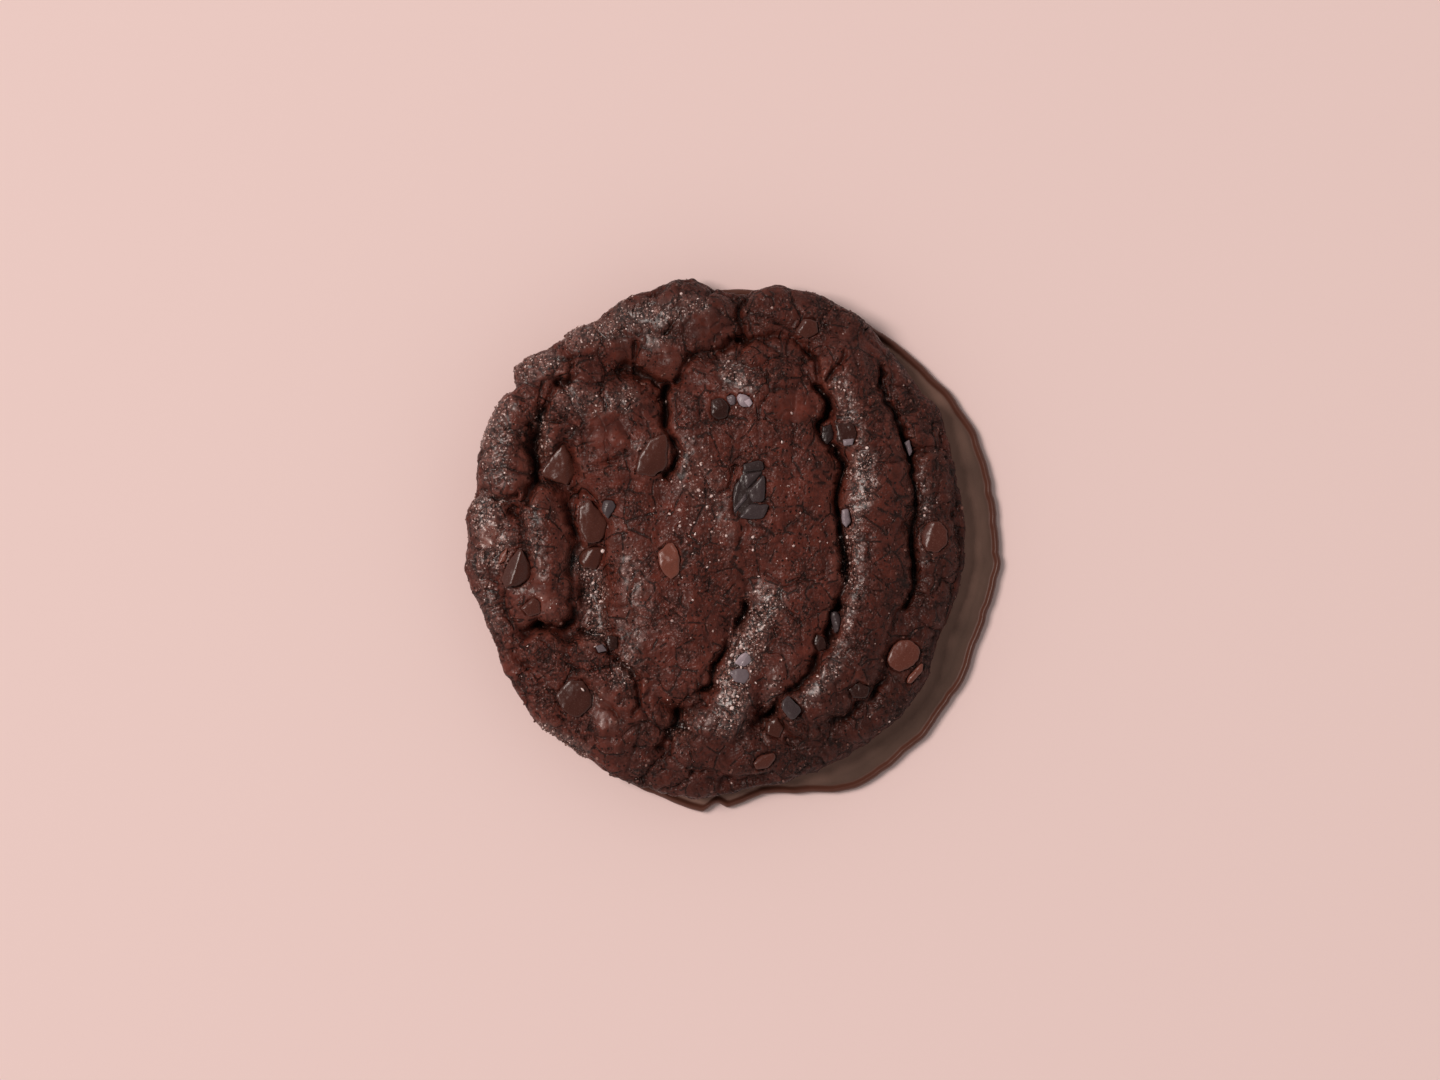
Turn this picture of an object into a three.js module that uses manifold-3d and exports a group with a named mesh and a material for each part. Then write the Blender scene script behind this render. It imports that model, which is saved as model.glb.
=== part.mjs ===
// A double chocolate cookie: a thick, folded round of baked chocolate dough, studded with
// chocolate drops and chunks, standing a little off centre on a thin disc of set chocolate.
// Millimetres, +Z up. The origin lies on the resting plane, under the middle of the outline.
// The layout below is measured from the middle of the dough, +X right and +Y away.

import * as THREE from "three";
import { mergeGeometries, mergeVertices } from "three/addons/utils/BufferGeometryUtils.js";
import Module from "manifold-3d";

// ---------------------------------------------------------------- driving dimensions

const doughRadius = 50;
const doughCrown = 11.6; // middle of the top above the resting plane, before the folds
const doughWaist = 6.2; // height of the widest line of the side
const footTuck = 2.2; // how far the side draws in below the waist
const sideSquareness = 3.4; // exponent of the rounded side: 2 is an ellipse, more is boxier

const baseRadius = 52.3;
const baseThickness = 1.8;
const baseCentre = [4.5, -1.9]; // the chocolate disc, from the middle of the dough
const lipRise = 0.9; // the rounded bead along the free edge of the disc
const lipWidth = 2.6;
const lipStart = [1.6, 3.0]; // the bead rises as this much of the disc comes to show

const middleOfOutline = [3.3, -1.1]; // of the whole cookie, from the middle of the dough

const doughRings = 32; // rings of the dough's mesh, from the middle to the foot
const topRings = 26; // how many of them lie on the top
const baseSegments = 96;

const colours = { dough: 0x44271f, base: 0x3f2a24 };

// ---------------------------------------------------------------- small helpers

const degrees = (angle) => (angle * Math.PI) / 180;
const clamp = THREE.MathUtils.clamp;
const lerp = THREE.MathUtils.lerp;
const smoothstep = (x, low, high) => THREE.MathUtils.smoothstep(x, low, high);

// Shortest way round from one angle to another, in degrees.
function angleBetween(a, b) {
  return Math.abs(((a - b + 540) % 360) - 180);
}

// One rounded swelling or dent of an outline: full at its own angle, gone at its half width.
function outlineBump(angle, bump) {
  const t = clamp(angleBetween(angle, bump.at) / bump.halfWidth, 0, 1);
  return bump.rise * (1 - t * t) ** 2;
}

function outlineRadius(angle, radius, bumps) {
  return bumps.reduce((sum, bump) => sum + outlineBump(angle, bump), radius);
}

// Repeatable value noise: a scrambled height from 0 to 1 at each lattice point of a layer,
// blended smoothly between the points.
function latticeValue(i, j, layer) {
  const mixed = (Math.imul(i, 374761393) + Math.imul(j, 668265263) + Math.imul(layer, 2147483647)) | 0;
  const stirred = Math.imul(mixed ^ (mixed >>> 13), 1274126177);
  return ((stirred ^ (stirred >>> 16)) & 0xffffff) / 0xffffff;
}

const easing = (t) => t * t * t * (t * (t * 6 - 15) + 10);

function valueNoise(x, y, layer) {
  const i = Math.floor(x);
  const j = Math.floor(y);
  const u = easing(x - i);
  const v = easing(y - j);
  const near = lerp(latticeValue(i, j, layer), latticeValue(i + 1, j, layer), u);
  const far = lerp(latticeValue(i, j + 1, layer), latticeValue(i + 1, j + 1, layer), u);
  return lerp(near, far, v);
}

// Sum of finer and weaker layers of noise, from -1 to 1; puffs folds each layer at its middle,
// which makes rounded lumps with creases between them.
function layeredNoise(x, y, layer, octaves, gain, puffs = false) {
  let [sum, total, strength] = [0, 0, 1];
  for (let k = 0; k < octaves; k++) {
    const value = valueNoise(x * 2 ** k + 17.3 * k, y * 2 ** k - 9.1 * k, layer + k) * 2 - 1;
    sum += strength * (puffs ? Math.abs(value) : value);
    total += strength;
    strength *= gain;
  }
  return sum / total;
}

// ---------------------------------------------------------------- outlines

const doughBumps = [
  { at: 0, halfWidth: 12, rise: 0.4 },
  { at: 30, halfWidth: 14, rise: 1.4 },
  { at: 62, halfWidth: 28, rise: 2.7 },
  { at: 86, halfWidth: 10, rise: -2.3 }, // the dip in the far edge
  { at: 98, halfWidth: 22, rise: 2.2 },
  { at: 137, halfWidth: 9, rise: 2.0 },
  { at: 143, halfWidth: 3, rise: -1.6 }, // torn notch
  { at: 168, halfWidth: 12, rise: -0.8 },
  { at: 203, halfWidth: 16, rise: -2.0 },
  { at: 230, halfWidth: 26, rise: 0.5 },
  { at: 260, halfWidth: 28, rise: 1.8 },
  { at: 320, halfWidth: 14, rise: 0.7 },
  { at: 338, halfWidth: 12, rise: -1.2 },
];

const baseBumps = [
  { at: 25, halfWidth: 16, rise: 0.8 },
  { at: 37, halfWidth: 6, rise: 0.4 },
  { at: 80, halfWidth: 12, rise: 0.5 },
  { at: 240, halfWidth: 28, rise: -0.7 },
  { at: 262, halfWidth: 16, rise: 1.1 },
  { at: 265, halfWidth: 3, rise: -1.5 }, // nick in the near edge
  { at: 277, halfWidth: 16, rise: -2.7 },
  { at: 300, halfWidth: 14, rise: 1.2 },
  { at: 315, halfWidth: 8, rise: 0.9 },
  { at: 342, halfWidth: 13, rise: -0.8 },
  { at: 357, halfWidth: 4, rise: 0.6 }, // small nib where the chocolate ran
];

const doughOutline = (angle) => outlineRadius(angle, doughRadius, doughBumps);
const baseOutline = (angle) => outlineRadius(angle, baseRadius, baseBumps);

// ---------------------------------------------------------------- folds and cracks of the dough

// Each fold is a rounded bank along a line: its half width, the height of its crest over the
// plain dome, and how far it falls from crest to side.
const folds = [
  { path: [[24.3, 34], [28.8, 26], [31.3, 16], [32, 5], [32.2, -6], [30.5, -15], [27, -23],
    [22.5, -29.5], [18, -33.5]], halfWidth: 6.6, crest: 3.9, fall: 5.6 }, // long right-hand fold
  { path: [[11, 29], [12.5, 20], [14, 9], [15.2, -2], [16.4, -9]],
    halfWidth: 10.6, crest: 3.9, fall: 5.2 }, // middle, right half
  { path: [[0, 31.5], [7, 33], [13, 31]], halfWidth: 6.2, crest: 2.8, fall: 4.2 },
  { path: [[3, 27], [3.5, 14], [4.2, 2], [3.4, -8]], halfWidth: 8, crest: 2.9, fall: 3 },
  { path: [[-2.5, 24], [-3, 12], [-4, 3], [-4, -8], [-4.5, -18], [-6, -25]],
    halfWidth: 8.8, crest: 3, fall: 4.8 }, // middle, left half
  { path: [[-16, 5], [-14, -5], [-12, -14], [-13, -23]], halfWidth: 8.6, crest: 2.2, fall: 4 },
  { path: [[-27, 25], [-20, 23]], halfWidth: 9.6, crest: 2.6, fall: 4.6 }, // smooth bun
  { path: [[-24, 15], [-18.5, 13.6]], halfWidth: 5.2, crest: 2, fall: 3.6 },
  { path: [[-14, 20], [-12.4, 16.5]], halfWidth: 4.6, crest: 3, fall: 3.6 }, // the bun's tongue
  { path: [[-22, 9.2], [-14, 9.2], [-8, 8]], halfWidth: 3.6, crest: 1.6, fall: 3 },
  { path: [[-40, 27.5], [-42.5, 21], [-42, 13]], halfWidth: 5.8, crest: 2.3, fall: 4.4 },
  { path: [[-45.5, 5.5], [-46, 1]], halfWidth: 4.2, crest: 1.3, fall: 3.2 },
  { path: [[-47, -4], [-45, -12], [-42, -19]], halfWidth: 4.6, crest: 0.6, fall: 3 },
  { path: [[-34.4, 7], [-33.6, 0], [-33, -7], [-32.2, -13]], halfWidth: 5, crest: 2.5, fall: 4.8 },
  { path: [[-40, 1.5], [-39.5, -8], [-37.5, -14]], halfWidth: 4.2, crest: 1.2, fall: 3.2 },
  { path: [[-36.4, 33], [-32.6, 33.4]], halfWidth: 5.2, crest: 2, fall: 4 }, // torn knob
  { path: [[-27, 38], [-22, 39.5]], halfWidth: 6.2, crest: 1.8, fall: 4 },
  { path: [[-17, 43], [-12, 41]], halfWidth: 6.6, crest: 1.6, fall: 3.6 },
  { path: [[-5.5, 44.5], [-2.2, 43]], halfWidth: 7.6, crest: 2.9, fall: 5 }, // big far lump
  { path: [[-11, 37], [-8.6, 35.6]], halfWidth: 4.6, crest: 1.6, fall: 3.4 },
  { path: [[11, 45], [18, 44.5], [25, 41]], halfWidth: 6.6, crest: 1.3, fall: 3.6 },
  { path: [[9, 38], [15, 36.6]], halfWidth: 4.2, crest: 1, fall: 3 },
  { path: [[29, 36], [36, 29.5], [40.6, 23]], halfWidth: 5.4, crest: 1.1, fall: 3.4 },
  { path: [[43.4, 14], [43.6, 8]], halfWidth: 4.6, crest: 1.6, fall: 3.4 },
  { path: [[43.8, 1], [44, -6], [43, -11]], halfWidth: 4.8, crest: 0.9, fall: 3 },
  { path: [[41.5, -15.5], [38.8, -18.5]], halfWidth: 4.2, crest: 1.3, fall: 3 },
  { path: [[39.5, -25], [33, -33], [24, -40], [15, -44]], halfWidth: 5.6, crest: 0.5, fall: 3 },
  { path: [[9.5, -14.5], [6.5, -20], [5.2, -26], [3.2, -33], [-1.5, -38.5]],
    halfWidth: 5.2, crest: 3.4, fall: 5.2 }, // slanting near fold
  { path: [[17.2, -10], [15.8, -20], [12.2, -27]], halfWidth: 6.2, crest: 3.3, fall: 4.8 },
  { path: [[-6, -42.8], [2, -42.6], [10, -41.4]], halfWidth: 5.2, crest: 1.4, fall: 3.6 },
  { path: [[-24, -27.5], [-17, -29.5]], halfWidth: 7.2, crest: 1.9, fall: 4 },
  { path: [[-15.5, -35.5], [-13.2, -37.3]], halfWidth: 4.6, crest: 1.7, fall: 3.6 },
  { path: [[-23, -36], [-19.5, -39]], halfWidth: 4.6, crest: 1.1, fall: 3.2 },
  { path: [[-39, -24], [-33, -33], [-24, -40], [-14, -45.5], [-4, -48]],
    halfWidth: 5.4, crest: 0.5, fall: 3 }, // near left rim
  { path: [[-34.5, -23.5], [-30.5, -26.5]], halfWidth: 4.6, crest: 1.2, fall: 3.2 },
];
const foldFloor = -2.4; // the dough between the folds, below the plain dome
const foldBlend = 0.35; // how softly neighbouring folds run together
const roundedShare = 0.9; // share of a fold's half width that is round; its skirt lies beyond
const skirtSteepness = 2;
const deepestSkirt = -12;

// Each crack is a groove along a line: its half width and its depth.
const cracks = [
  { path: [[20, 30.8], [21.9, 27.5], [21.5, 24.9], [20.9, 21.2], [24.2, 16.4], [24.8, 8.6],
    [25, 2], [25.2, -5.5], [25.5, -11.5], [23.6, -15.1], [22.2, -18.8], [21.1, -22.5],
    [19.6, -26.2], [16.6, -29], [13.3, -31], [11.5, -33.4], [10.4, -36.6]],
    halfWidth: 1.2, depth: 3.4 }, // left of the long fold
  { path: [[33, 34.5], [33.3, 30.8], [34.4, 27.9], [36.3, 24.1], [37, 19.7], [38.3, 16],
    [38.8, 10], [39.4, 4.1], [39.5, -3], [39, -9.2], [37, -13.6], [35.6, -16.2], [34.4, -20.3]],
    halfWidth: 1, depth: 2.4 }, // right of the long fold
  { path: [[-32.2, 30.4], [-33, 27.9], [-35.4, 24.1], [-36.7, 19.7], [-36.5, 15], [-36.3, 11],
    [-37.2, 8.2], [-39.6, 5.8]], halfWidth: 1.2, depth: 2.8 },
  { path: [[-10.2, 29.8], [-10.3, 26.4], [-10.3, 23.4], [-8.9, 20.4], [-8.1, 17.5],
    [-8.7, 13.8], [-10.6, 12.9]], halfWidth: 1.15, depth: 3 }, // right of the bun
  { path: [[6.3, -12.9], [5, -17], [2.4, -21], [0.4, -24.4], [-0.4, -29.2], [-4.1, -30.5],
    [-6.3, -32.3], [-7.8, -35.1], [-9.6, -38.4], [-10.9, -40.6]], halfWidth: 1.2, depth: 3 },
  { path: [[-4.8, -46.4], [0.4, -47.1], [5.6, -47.2], [11.5, -46]], halfWidth: 0.8, depth: 1.6 },
  { path: [[-28.5, 2.7], [-28.9, -5.5], [-28.4, -10.7], [-28.2, -14.8], [-30, -17.4],
    [-34, -17.8], [-40, -18.6]], halfWidth: 1.2, depth: 2.6 },
  { path: [[-26.2, -19], [-23.3, -20], [-20.4, -19.2]], halfWidth: 1, depth: 2.2 },
  { path: [[6.6, 48.5], [4.8, 44.9], [5.2, 41.9], [4.1, 39.7], [1.1, 38.2], [-3.3, 37.3],
    [-6.3, 33.8], [-8.2, 30.8]], halfWidth: 1.1, depth: 2.4 },
  { path: [[-32.2, 30.4], [-29, 32], [-25, 34.2], [-20, 34.8], [-15.9, 35], [-13.4, 32.6],
    [-10.6, 30.4]], halfWidth: 1.1, depth: 2.2 },
  { path: [[4.4, 40.4], [10, 40.6], [15.2, 39.6], [19.6, 35.5], [20.6, 31.4]],
    halfWidth: 0.9, depth: 1.6 },
  { path: [[21.9, 31.6], [24.4, 34.9], [25.6, 38.4]], halfWidth: 0.8, depth: 1.4 },
  { path: [[13.6, -34.6], [15.9, -36.4], [19.6, -37.6], [24.8, -36], [29, -32.4], [33, -28]],
    halfWidth: 1, depth: 2 },
  { path: [[5.6, 4], [5, -2], [5, -7], [6.2, -12.4]], halfWidth: 1.2, depth: 0.7 },
  { path: [[-45.5, 10.2], [-42, 8.6], [-39.4, 9.4]], halfWidth: 0.9, depth: 1.8 },
];
const narrowestCrack = 1.5; // half width below which the mesh would miss a crack

const pointsPerSpan = 4;

// Points along a smooth curve through the given ones.
function smoothPath(path) {
  const curve = new THREE.SplineCurve(path.map(([x, y]) => new THREE.Vector2(x, y)));
  return curve.getPoints((path.length - 1) * pointsPerSpan);
}

function distanceToPath(x, y, points) {
  let nearest = Infinity;
  for (let i = 1; i < points.length; i++) {
    const a = points[i - 1];
    const along = points[i].clone().sub(a);
    const t = clamp(((x - a.x) * along.x + (y - a.y) * along.y) / along.lengthSq(), 0, 1);
    nearest = Math.min(nearest, Math.hypot(x - a.x - along.x * t, y - a.y - along.y * t));
  }
  return nearest;
}

const foldLines = folds.map((fold) => ({ ...fold, points: smoothPath(fold.path) }));
const crackLines = cracks.map((crack) => ({ ...crack, points: smoothPath(crack.path) }));

// Round-backed bank: a quarter circle from crest to side, then a steep skirt below the floor.
function foldHeight(distance, fold) {
  const t = distance / fold.halfWidth;
  const rounded = 1 - Math.sqrt(1 - Math.min(t, roundedShare) ** 2);
  const beyond = Math.max(0, t - roundedShare);
  return Math.max(deepestSkirt, fold.crest - fold.fall * (rounded + skirtSteepness * beyond));
}

// Uneven ground: the size and reach of each kind of noise, and the layers it is drawn from.
const waver = { size: 7, reach: 1.5, layers: [1, 2] }; // how folds and cracks wander
const swell = { size: 9, height: 0.9, layer: 40 };
const lumps = { size: 5.5, height: 0.9, layer: 5 };
const crackStrength = { size: 5, middle: 0.75, reach: 0.9, least: 0.25, most: 1.3, layer: 50 };

// Groove whose depth and width come and go along its length.
function crackDepth(x, y, distance, crack, order) {
  const { size, middle, reach, least, most, layer } = crackStrength;
  const share = middle + reach * layeredNoise(x / size, y / size, layer + order, 2, 0.5);
  const strength = clamp(share, least, most);
  const halfWidth = Math.max(narrowestCrack, crack.halfWidth * (0.6 + 0.5 * strength));
  return crack.depth * strength * Math.exp(-((distance / halfWidth) ** 2));
}

// Height of the dough over its plain dome at a point of the plan.
function relief(x, y) {
  const [u, v] = [x / waver.size, y / waver.size];
  const wx = x + waver.reach * layeredNoise(u + 11.3, v, waver.layers[0], 3, 0.45);
  const wy = y + waver.reach * layeredNoise(u, v + 27.9, waver.layers[1], 3, 0.45);
  let sum = Math.exp(foldFloor / foldBlend);
  for (const fold of foldLines) {
    sum += Math.exp(foldHeight(distanceToPath(wx, wy, fold.points), fold) / foldBlend);
  }
  let height = foldBlend * Math.log(sum);
  height += swell.height * layeredNoise(x / swell.size, y / swell.size, swell.layer, 2, 0.5);
  crackLines.forEach((crack, order) => {
    height -= crackDepth(x, y, distanceToPath(wx, wy, crack.points), crack, order);
  });
  const puffed = layeredNoise(x / lumps.size, y / lumps.size, lumps.layer, 2, 0.5, true);
  return height + lumps.height * (puffed - 0.4);
}

// ---------------------------------------------------------------- dough

const doughFoot = baseThickness; // the dough stands on the flat of the chocolate disc
const sideShare = 0.35; // share of the relief that shows as in and out on the side
const sideLevel = -1.2; // relief that leaves the side where it is
const shoulderWidth = 5; // the top ends this far in from the waist
const footFadeHeight = 1.5; // the relief dies out this close above the foot
const sectionSteps = 600;

// The dough's section from the middle of the top round to the foot, evenly spaced points of
// radius and height: above the waist a superellipse, below it an ellipse that tucks in.
function doughSection(rings, ringsOnTop) {
  const exponent = 2 / sideSquareness;
  const upper = doughCrown - doughWaist;
  const lower = doughWaist - doughFoot;
  const dense = [];
  for (let i = 0; i <= sectionSteps; i++) {
    const phi = (i / sectionSteps) * (Math.PI / 2);
    const radius = doughRadius * Math.sin(phi) ** exponent;
    dense.push([radius, doughWaist + upper * Math.cos(phi) ** exponent]);
  }
  for (let i = 1; i <= sectionSteps; i++) {
    const phi = (i / sectionSteps) * (Math.PI / 2);
    const radius = doughRadius - footTuck * (1 - Math.cos(phi));
    dense.push([radius, doughWaist - lower * Math.sin(phi)]);
  }
  const lengths = [0];
  for (let i = 1; i < dense.length; i++) {
    const [r0, z0] = dense[i - 1];
    const [r1, z1] = dense[i];
    lengths.push(lengths[i - 1] + Math.hypot(r1 - r0, z1 - z0));
  }
  const total = lengths.at(-1);
  const topLength = lengths[dense.findIndex(([r]) => r > doughRadius - shoulderWidth)];
  const section = [];
  let at = 0;
  for (let ring = 0; ring <= rings; ring++) {
    const onTop = ring <= ringsOnTop;
    const wanted = onTop
      ? (topLength * ring) / ringsOnTop
      : lerp(topLength, total, (ring - ringsOnTop) / (rings - ringsOnTop));
    while (at < lengths.length - 2 && lengths[at + 1] < wanted) at++;
    const t = (wanted - lengths[at]) / (lengths[at + 1] - lengths[at]);
    const here = new THREE.Vector2(...dense[at]);
    const slope = new THREE.Vector2(...dense[at + 1]).sub(here);
    const { x: radius, y: height } = here.addScaledVector(slope, t);
    slope.normalize();
    section.push({ radius, height, normal: new THREE.Vector2(-slope.y, slope.x) });
  }
  return section;
}

// Place of one vertex of the dough: ring counts outwards from the middle, angle in degrees.
function doughPoint(section, ring, angle) {
  const { radius, height, normal } = section[ring];
  const scale = doughOutline(angle) / doughRadius;
  const [c, s] = [Math.cos(degrees(angle)), Math.sin(degrees(angle))];
  const plain = radius * scale;
  const raised = relief(plain * c, plain * s);
  const onTop = clamp(normal.y, 0, 1);
  const moved = lerp((raised - sideLevel) * sideShare, raised, onTop);
  const footFade = smoothstep(height, doughFoot, doughFoot + footFadeHeight);
  const out = plain + normal.x * moved;
  const up = ring === section.length - 1 ? doughFoot : height + normal.y * moved * footFade;
  return new THREE.Vector3(out * c, out * s, Math.max(up, doughFoot));
}

// A square grid laid over a disc: the square's rings become circles, so cells stay even.
function gridToDisc(a, b) {
  const ring = Math.max(Math.abs(a), Math.abs(b));
  if (ring === 0) return { ring: 0, angle: 0 };
  const quarter = 45;
  const angle = Math.abs(a) >= Math.abs(b)
    ? (a > 0 ? 0 : 180) + (quarter * b) / a
    : (b > 0 ? 90 : 270) - (quarter * a) / b;
  return { ring, angle: (angle + 360) % 360 };
}

// Flat underside that closes the skin along its last ring.
function footGeometry(positions, border) {
  const outline = border.map((i) => new THREE.Vector2(positions.getX(i), positions.getY(i)));
  const triangles = THREE.ShapeUtils.triangulateShape(outline, []);
  const flat = outline.flatMap(({ x, y }) => [x, y, doughFoot]);
  const geometry = new THREE.BufferGeometry();
  geometry.setAttribute("position", new THREE.Float32BufferAttribute(flat, 3));
  geometry.setIndex(triangles.flatMap(([a, b, c]) => [a, c, b]));
  return geometry;
}

function doughGeometry() {
  const section = doughSection(doughRings, topRings);
  const across = 2 * doughRings;
  const skin = new THREE.PlaneGeometry(across, across, across, across);
  skin.deleteAttribute("normal");
  skin.deleteAttribute("uv");
  const positions = skin.getAttribute("position");
  const border = [];
  for (let i = 0; i < positions.count; i++) {
    const { ring, angle } = gridToDisc(Math.round(positions.getX(i)), Math.round(positions.getY(i)));
    const point = doughPoint(section, ring, angle);
    positions.setXYZ(i, point.x, point.y, point.z);
    if (ring === doughRings) border.push({ i, angle });
  }
  border.sort((p, q) => p.angle - q.angle);
  const foot = footGeometry(positions, border.map(({ i }) => i));
  return mergeGeometries([skin, foot]);
}

// Highest point of the dough's surface over a point of its plan.
function doughTopAt(x, y) {
  const share = Math.hypot(x, y) / doughOutline((Math.atan2(y, x) * 180) / Math.PI);
  const upper = doughCrown - doughWaist;
  const dome = doughWaist + upper * (1 - Math.min(1, share) ** sideSquareness) ** (1 / sideSquareness);
  return dome + relief(x, y);
}

// ---------------------------------------------------------------- chocolate pieces in the dough

// at: plan position; size: length and width; turn: direction of the length, in degrees;
// tilt: how far it leans over to its right; proud: how much stands above the dough.
const drops = [
  { at: [37.4, -23.4], size: [7.0, 6.4], turn: 40, tilt: 4, proud: 1.3 },
  { at: [42.8, 0], size: [5.2, 4.6], turn: 80, tilt: -10, proud: 1.6 },
  { at: [-40.6, -5.6], size: [8.2, 4.8], turn: 74, tilt: 8, proud: 2.0 },
  { at: [-36.8, -13], size: [4.8, 4.4], turn: 40, tilt: 10, proud: 1.5 },
  { at: [-45.2, 3], size: [6.4, 4.6], turn: 95, tilt: 0, proud: 1.0 },
  { at: [-24.6, 4], size: [8.6, 5.2], turn: 100, tilt: -4, proud: 2.0 },
  { at: [-32, 15.4], size: [7.0, 6.2], turn: 20, tilt: 6, proud: 1.9 },
  { at: [1, 25.8], size: [4.3, 4.0], turn: 30, tilt: 0, proud: 1.0 },
  { at: [-28.4, -30.6], size: [6.4, 5.6], turn: 60, tilt: 0, proud: 1.5 },
  { at: [17.4, 43], size: [4.8, 4.4], turn: 70, tilt: 8, proud: 1.4 },
  { at: [9.4, -44.4], size: [4.6, 3.2], turn: 25, tilt: 0, proud: 1.2 },
];
const chunks = [
  { at: [-9.4, -4], size: [7.2, 4.6], turn: 80, tilt: 12, proud: 1.3 },
  { at: [39.8, -26.6], size: [5.2, 2.2], turn: 55, tilt: 10, proud: 1.5 },
  { at: [-20.8, 5.8], size: [4.4, 2.8], turn: 75, tilt: -8, proud: 1.4 },
  { at: [-24.4, -3.5], size: [6.0, 5.2], turn: 35, tilt: 10, proud: 1.3 },
  { at: [7.2, 15], size: [3.6, 2.4], turn: 10, tilt: 6, proud: 1.2 },
  { at: [8.2, 10.4], size: [5.6, 3.6], turn: 85, tilt: 6, proud: 1.1 },
  { at: [4.8, 8.8], size: [5.4, 2.8], turn: 68, tilt: -8, proud: 1.0 },
  { at: [6.6, 5.4], size: [4.6, 3.0], turn: 15, tilt: 6, proud: 1.0 },
  { at: [26, 21.8], size: [6.6, 5.8], turn: 85, tilt: -6, proud: 0.7 },
  { at: [22.4, 20.2], size: [4.4, 3.2], turn: 70, tilt: 10, proud: 1.4 },
  { at: [38.4, 18.2], size: [3.4, 2.0], turn: 80, tilt: 0, proud: 2.2 },
  { at: [25.9, 4.2], size: [3.8, 2.0], turn: 85, tilt: 0, proud: 2.6 },
  { at: [23.9, -15.4], size: [6.2, 2.8], turn: 100, tilt: -14, proud: 2.0 },
  { at: [15, -33.2], size: [5.4, 4.2], turn: 120, tilt: -12, proud: 2.0 },
  { at: [5.4, -25.8], size: [6.8, 5.8], turn: 70, tilt: -6, proud: 1.1 },
  { at: [-23, -21.2], size: [3.6, 2.2], turn: 165, tilt: 0, proud: 2.0 },
  { at: [28.6, -30], size: [4.6, 3.4], turn: 30, tilt: 8, proud: 1.4 },
];
const pieceDepth = 2.6; // how far every piece reaches down into the dough

const dropSides = 12;

// A melted baking drop, one unit across at its waist: a low dome over a buried cone.
function dropGeometry({ proud }) {
  const profile = [[0, -pieceDepth], [0.3, -pieceDepth], [0.5, 0], [0.42, 0.5 * proud],
    [0.24, 0.86 * proud], [0, proud]];
  const points = profile.map(([r, z]) => new THREE.Vector2(r, z));
  return new THREE.LatheGeometry(points, dropSides).rotateX(Math.PI / 2);
}

// A broken block, one unit each way at its foot: the top is a little smaller and slopes.
function chunkGeometry({ proud }) {
  const height = proud + pieceDepth;
  const geometry = new THREE.BoxGeometry(1, 1, height).translate(0, 0, height / 2 - pieceDepth);
  const positions = geometry.getAttribute("position");
  for (let i = 0; i < positions.count; i++) {
    if (positions.getZ(i) < 0) continue;
    const x = positions.getX(i) * 0.84 + 0.04;
    const y = positions.getY(i) * 0.8 - 0.04;
    positions.setXYZ(i, x, y, proud * (1 + 0.5 * x - 0.6 * y));
  }
  return geometry;
}

function placePiece(geometry, { at, size, turn, tilt }) {
  return geometry
    .scale(size[0], size[1], 1)
    .rotateX(degrees(tilt))
    .rotateZ(degrees(turn))
    .translate(at[0], at[1], doughTopAt(at[0], at[1]));
}

// ---------------------------------------------------------------- chocolate disc

// Section of the disc from the middle of its underside round to the middle of its top: the
// distance in from the edge, the height, and the share of the bead's rise there.
const baseSection = [
  { inset: baseRadius, height: 0 },
  { inset: 1.3, height: 0 },
  { inset: 0.3, height: 0.35 },
  { inset: 0, height: 0.95 },
  { inset: 0.3, height: 1.55, lip: 0.4 },
  { inset: 0.9, height: baseThickness, lip: 0.9 },
  { inset: 1.5, height: baseThickness, lip: 0.95 },
  { inset: 2.1, height: baseThickness, lip: 0.45 },
  { inset: lipWidth, height: baseThickness },
  { inset: baseRadius, height: baseThickness },
];

// How far the disc shows beyond the dough in a direction seen from the disc's own middle.
function showingWidth(angle) {
  const edge = baseOutline(angle);
  const x = baseCentre[0] + edge * Math.cos(degrees(angle));
  const y = baseCentre[1] + edge * Math.sin(degrees(angle));
  return Math.hypot(x, y) - doughOutline((Math.atan2(y, x) * 180) / Math.PI);
}

function baseGeometry() {
  const profile = baseSection.map(({ inset }, i) => new THREE.Vector2(baseRadius - inset, i));
  const geometry = new THREE.LatheGeometry(profile, baseSegments).rotateX(Math.PI / 2);
  const positions = geometry.getAttribute("position");
  for (let i = 0; i < positions.count; i++) {
    const { inset, height, lip = 0 } = baseSection[Math.round(positions.getZ(i))];
    const angle = (Math.atan2(positions.getY(i), positions.getX(i)) * 180) / Math.PI;
    const radius = inset === baseRadius ? 0 : baseOutline(angle) - inset;
    const raised = lipRise * lip * smoothstep(showingWidth(angle), ...lipStart);
    const x = baseCentre[0] + radius * Math.cos(degrees(angle));
    const y = baseCentre[1] + radius * Math.sin(degrees(angle));
    positions.setXYZ(i, x, y, height + raised);
  }
  return geometry;
}

// ---------------------------------------------------------------- solids and scene graph

const wasm = await Module();
wasm.setup();

const mergeDistance = 1e-3;

// Closed solid from a geometry whose seams only touch.
function solidFrom(geometry) {
  const bare = geometry.index ? geometry.clone() : mergeVertices(geometry);
  for (const name of Object.keys(bare.attributes)) {
    if (name !== "position") bare.deleteAttribute(name);
  }
  const merged = mergeVertices(bare, mergeDistance);
  const mesh = new wasm.Mesh({
    numProp: 3,
    vertProperties: merged.getAttribute("position").array,
    triVerts: new Uint32Array(merged.index.array),
  });
  return new wasm.Manifold(mesh);
}

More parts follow.
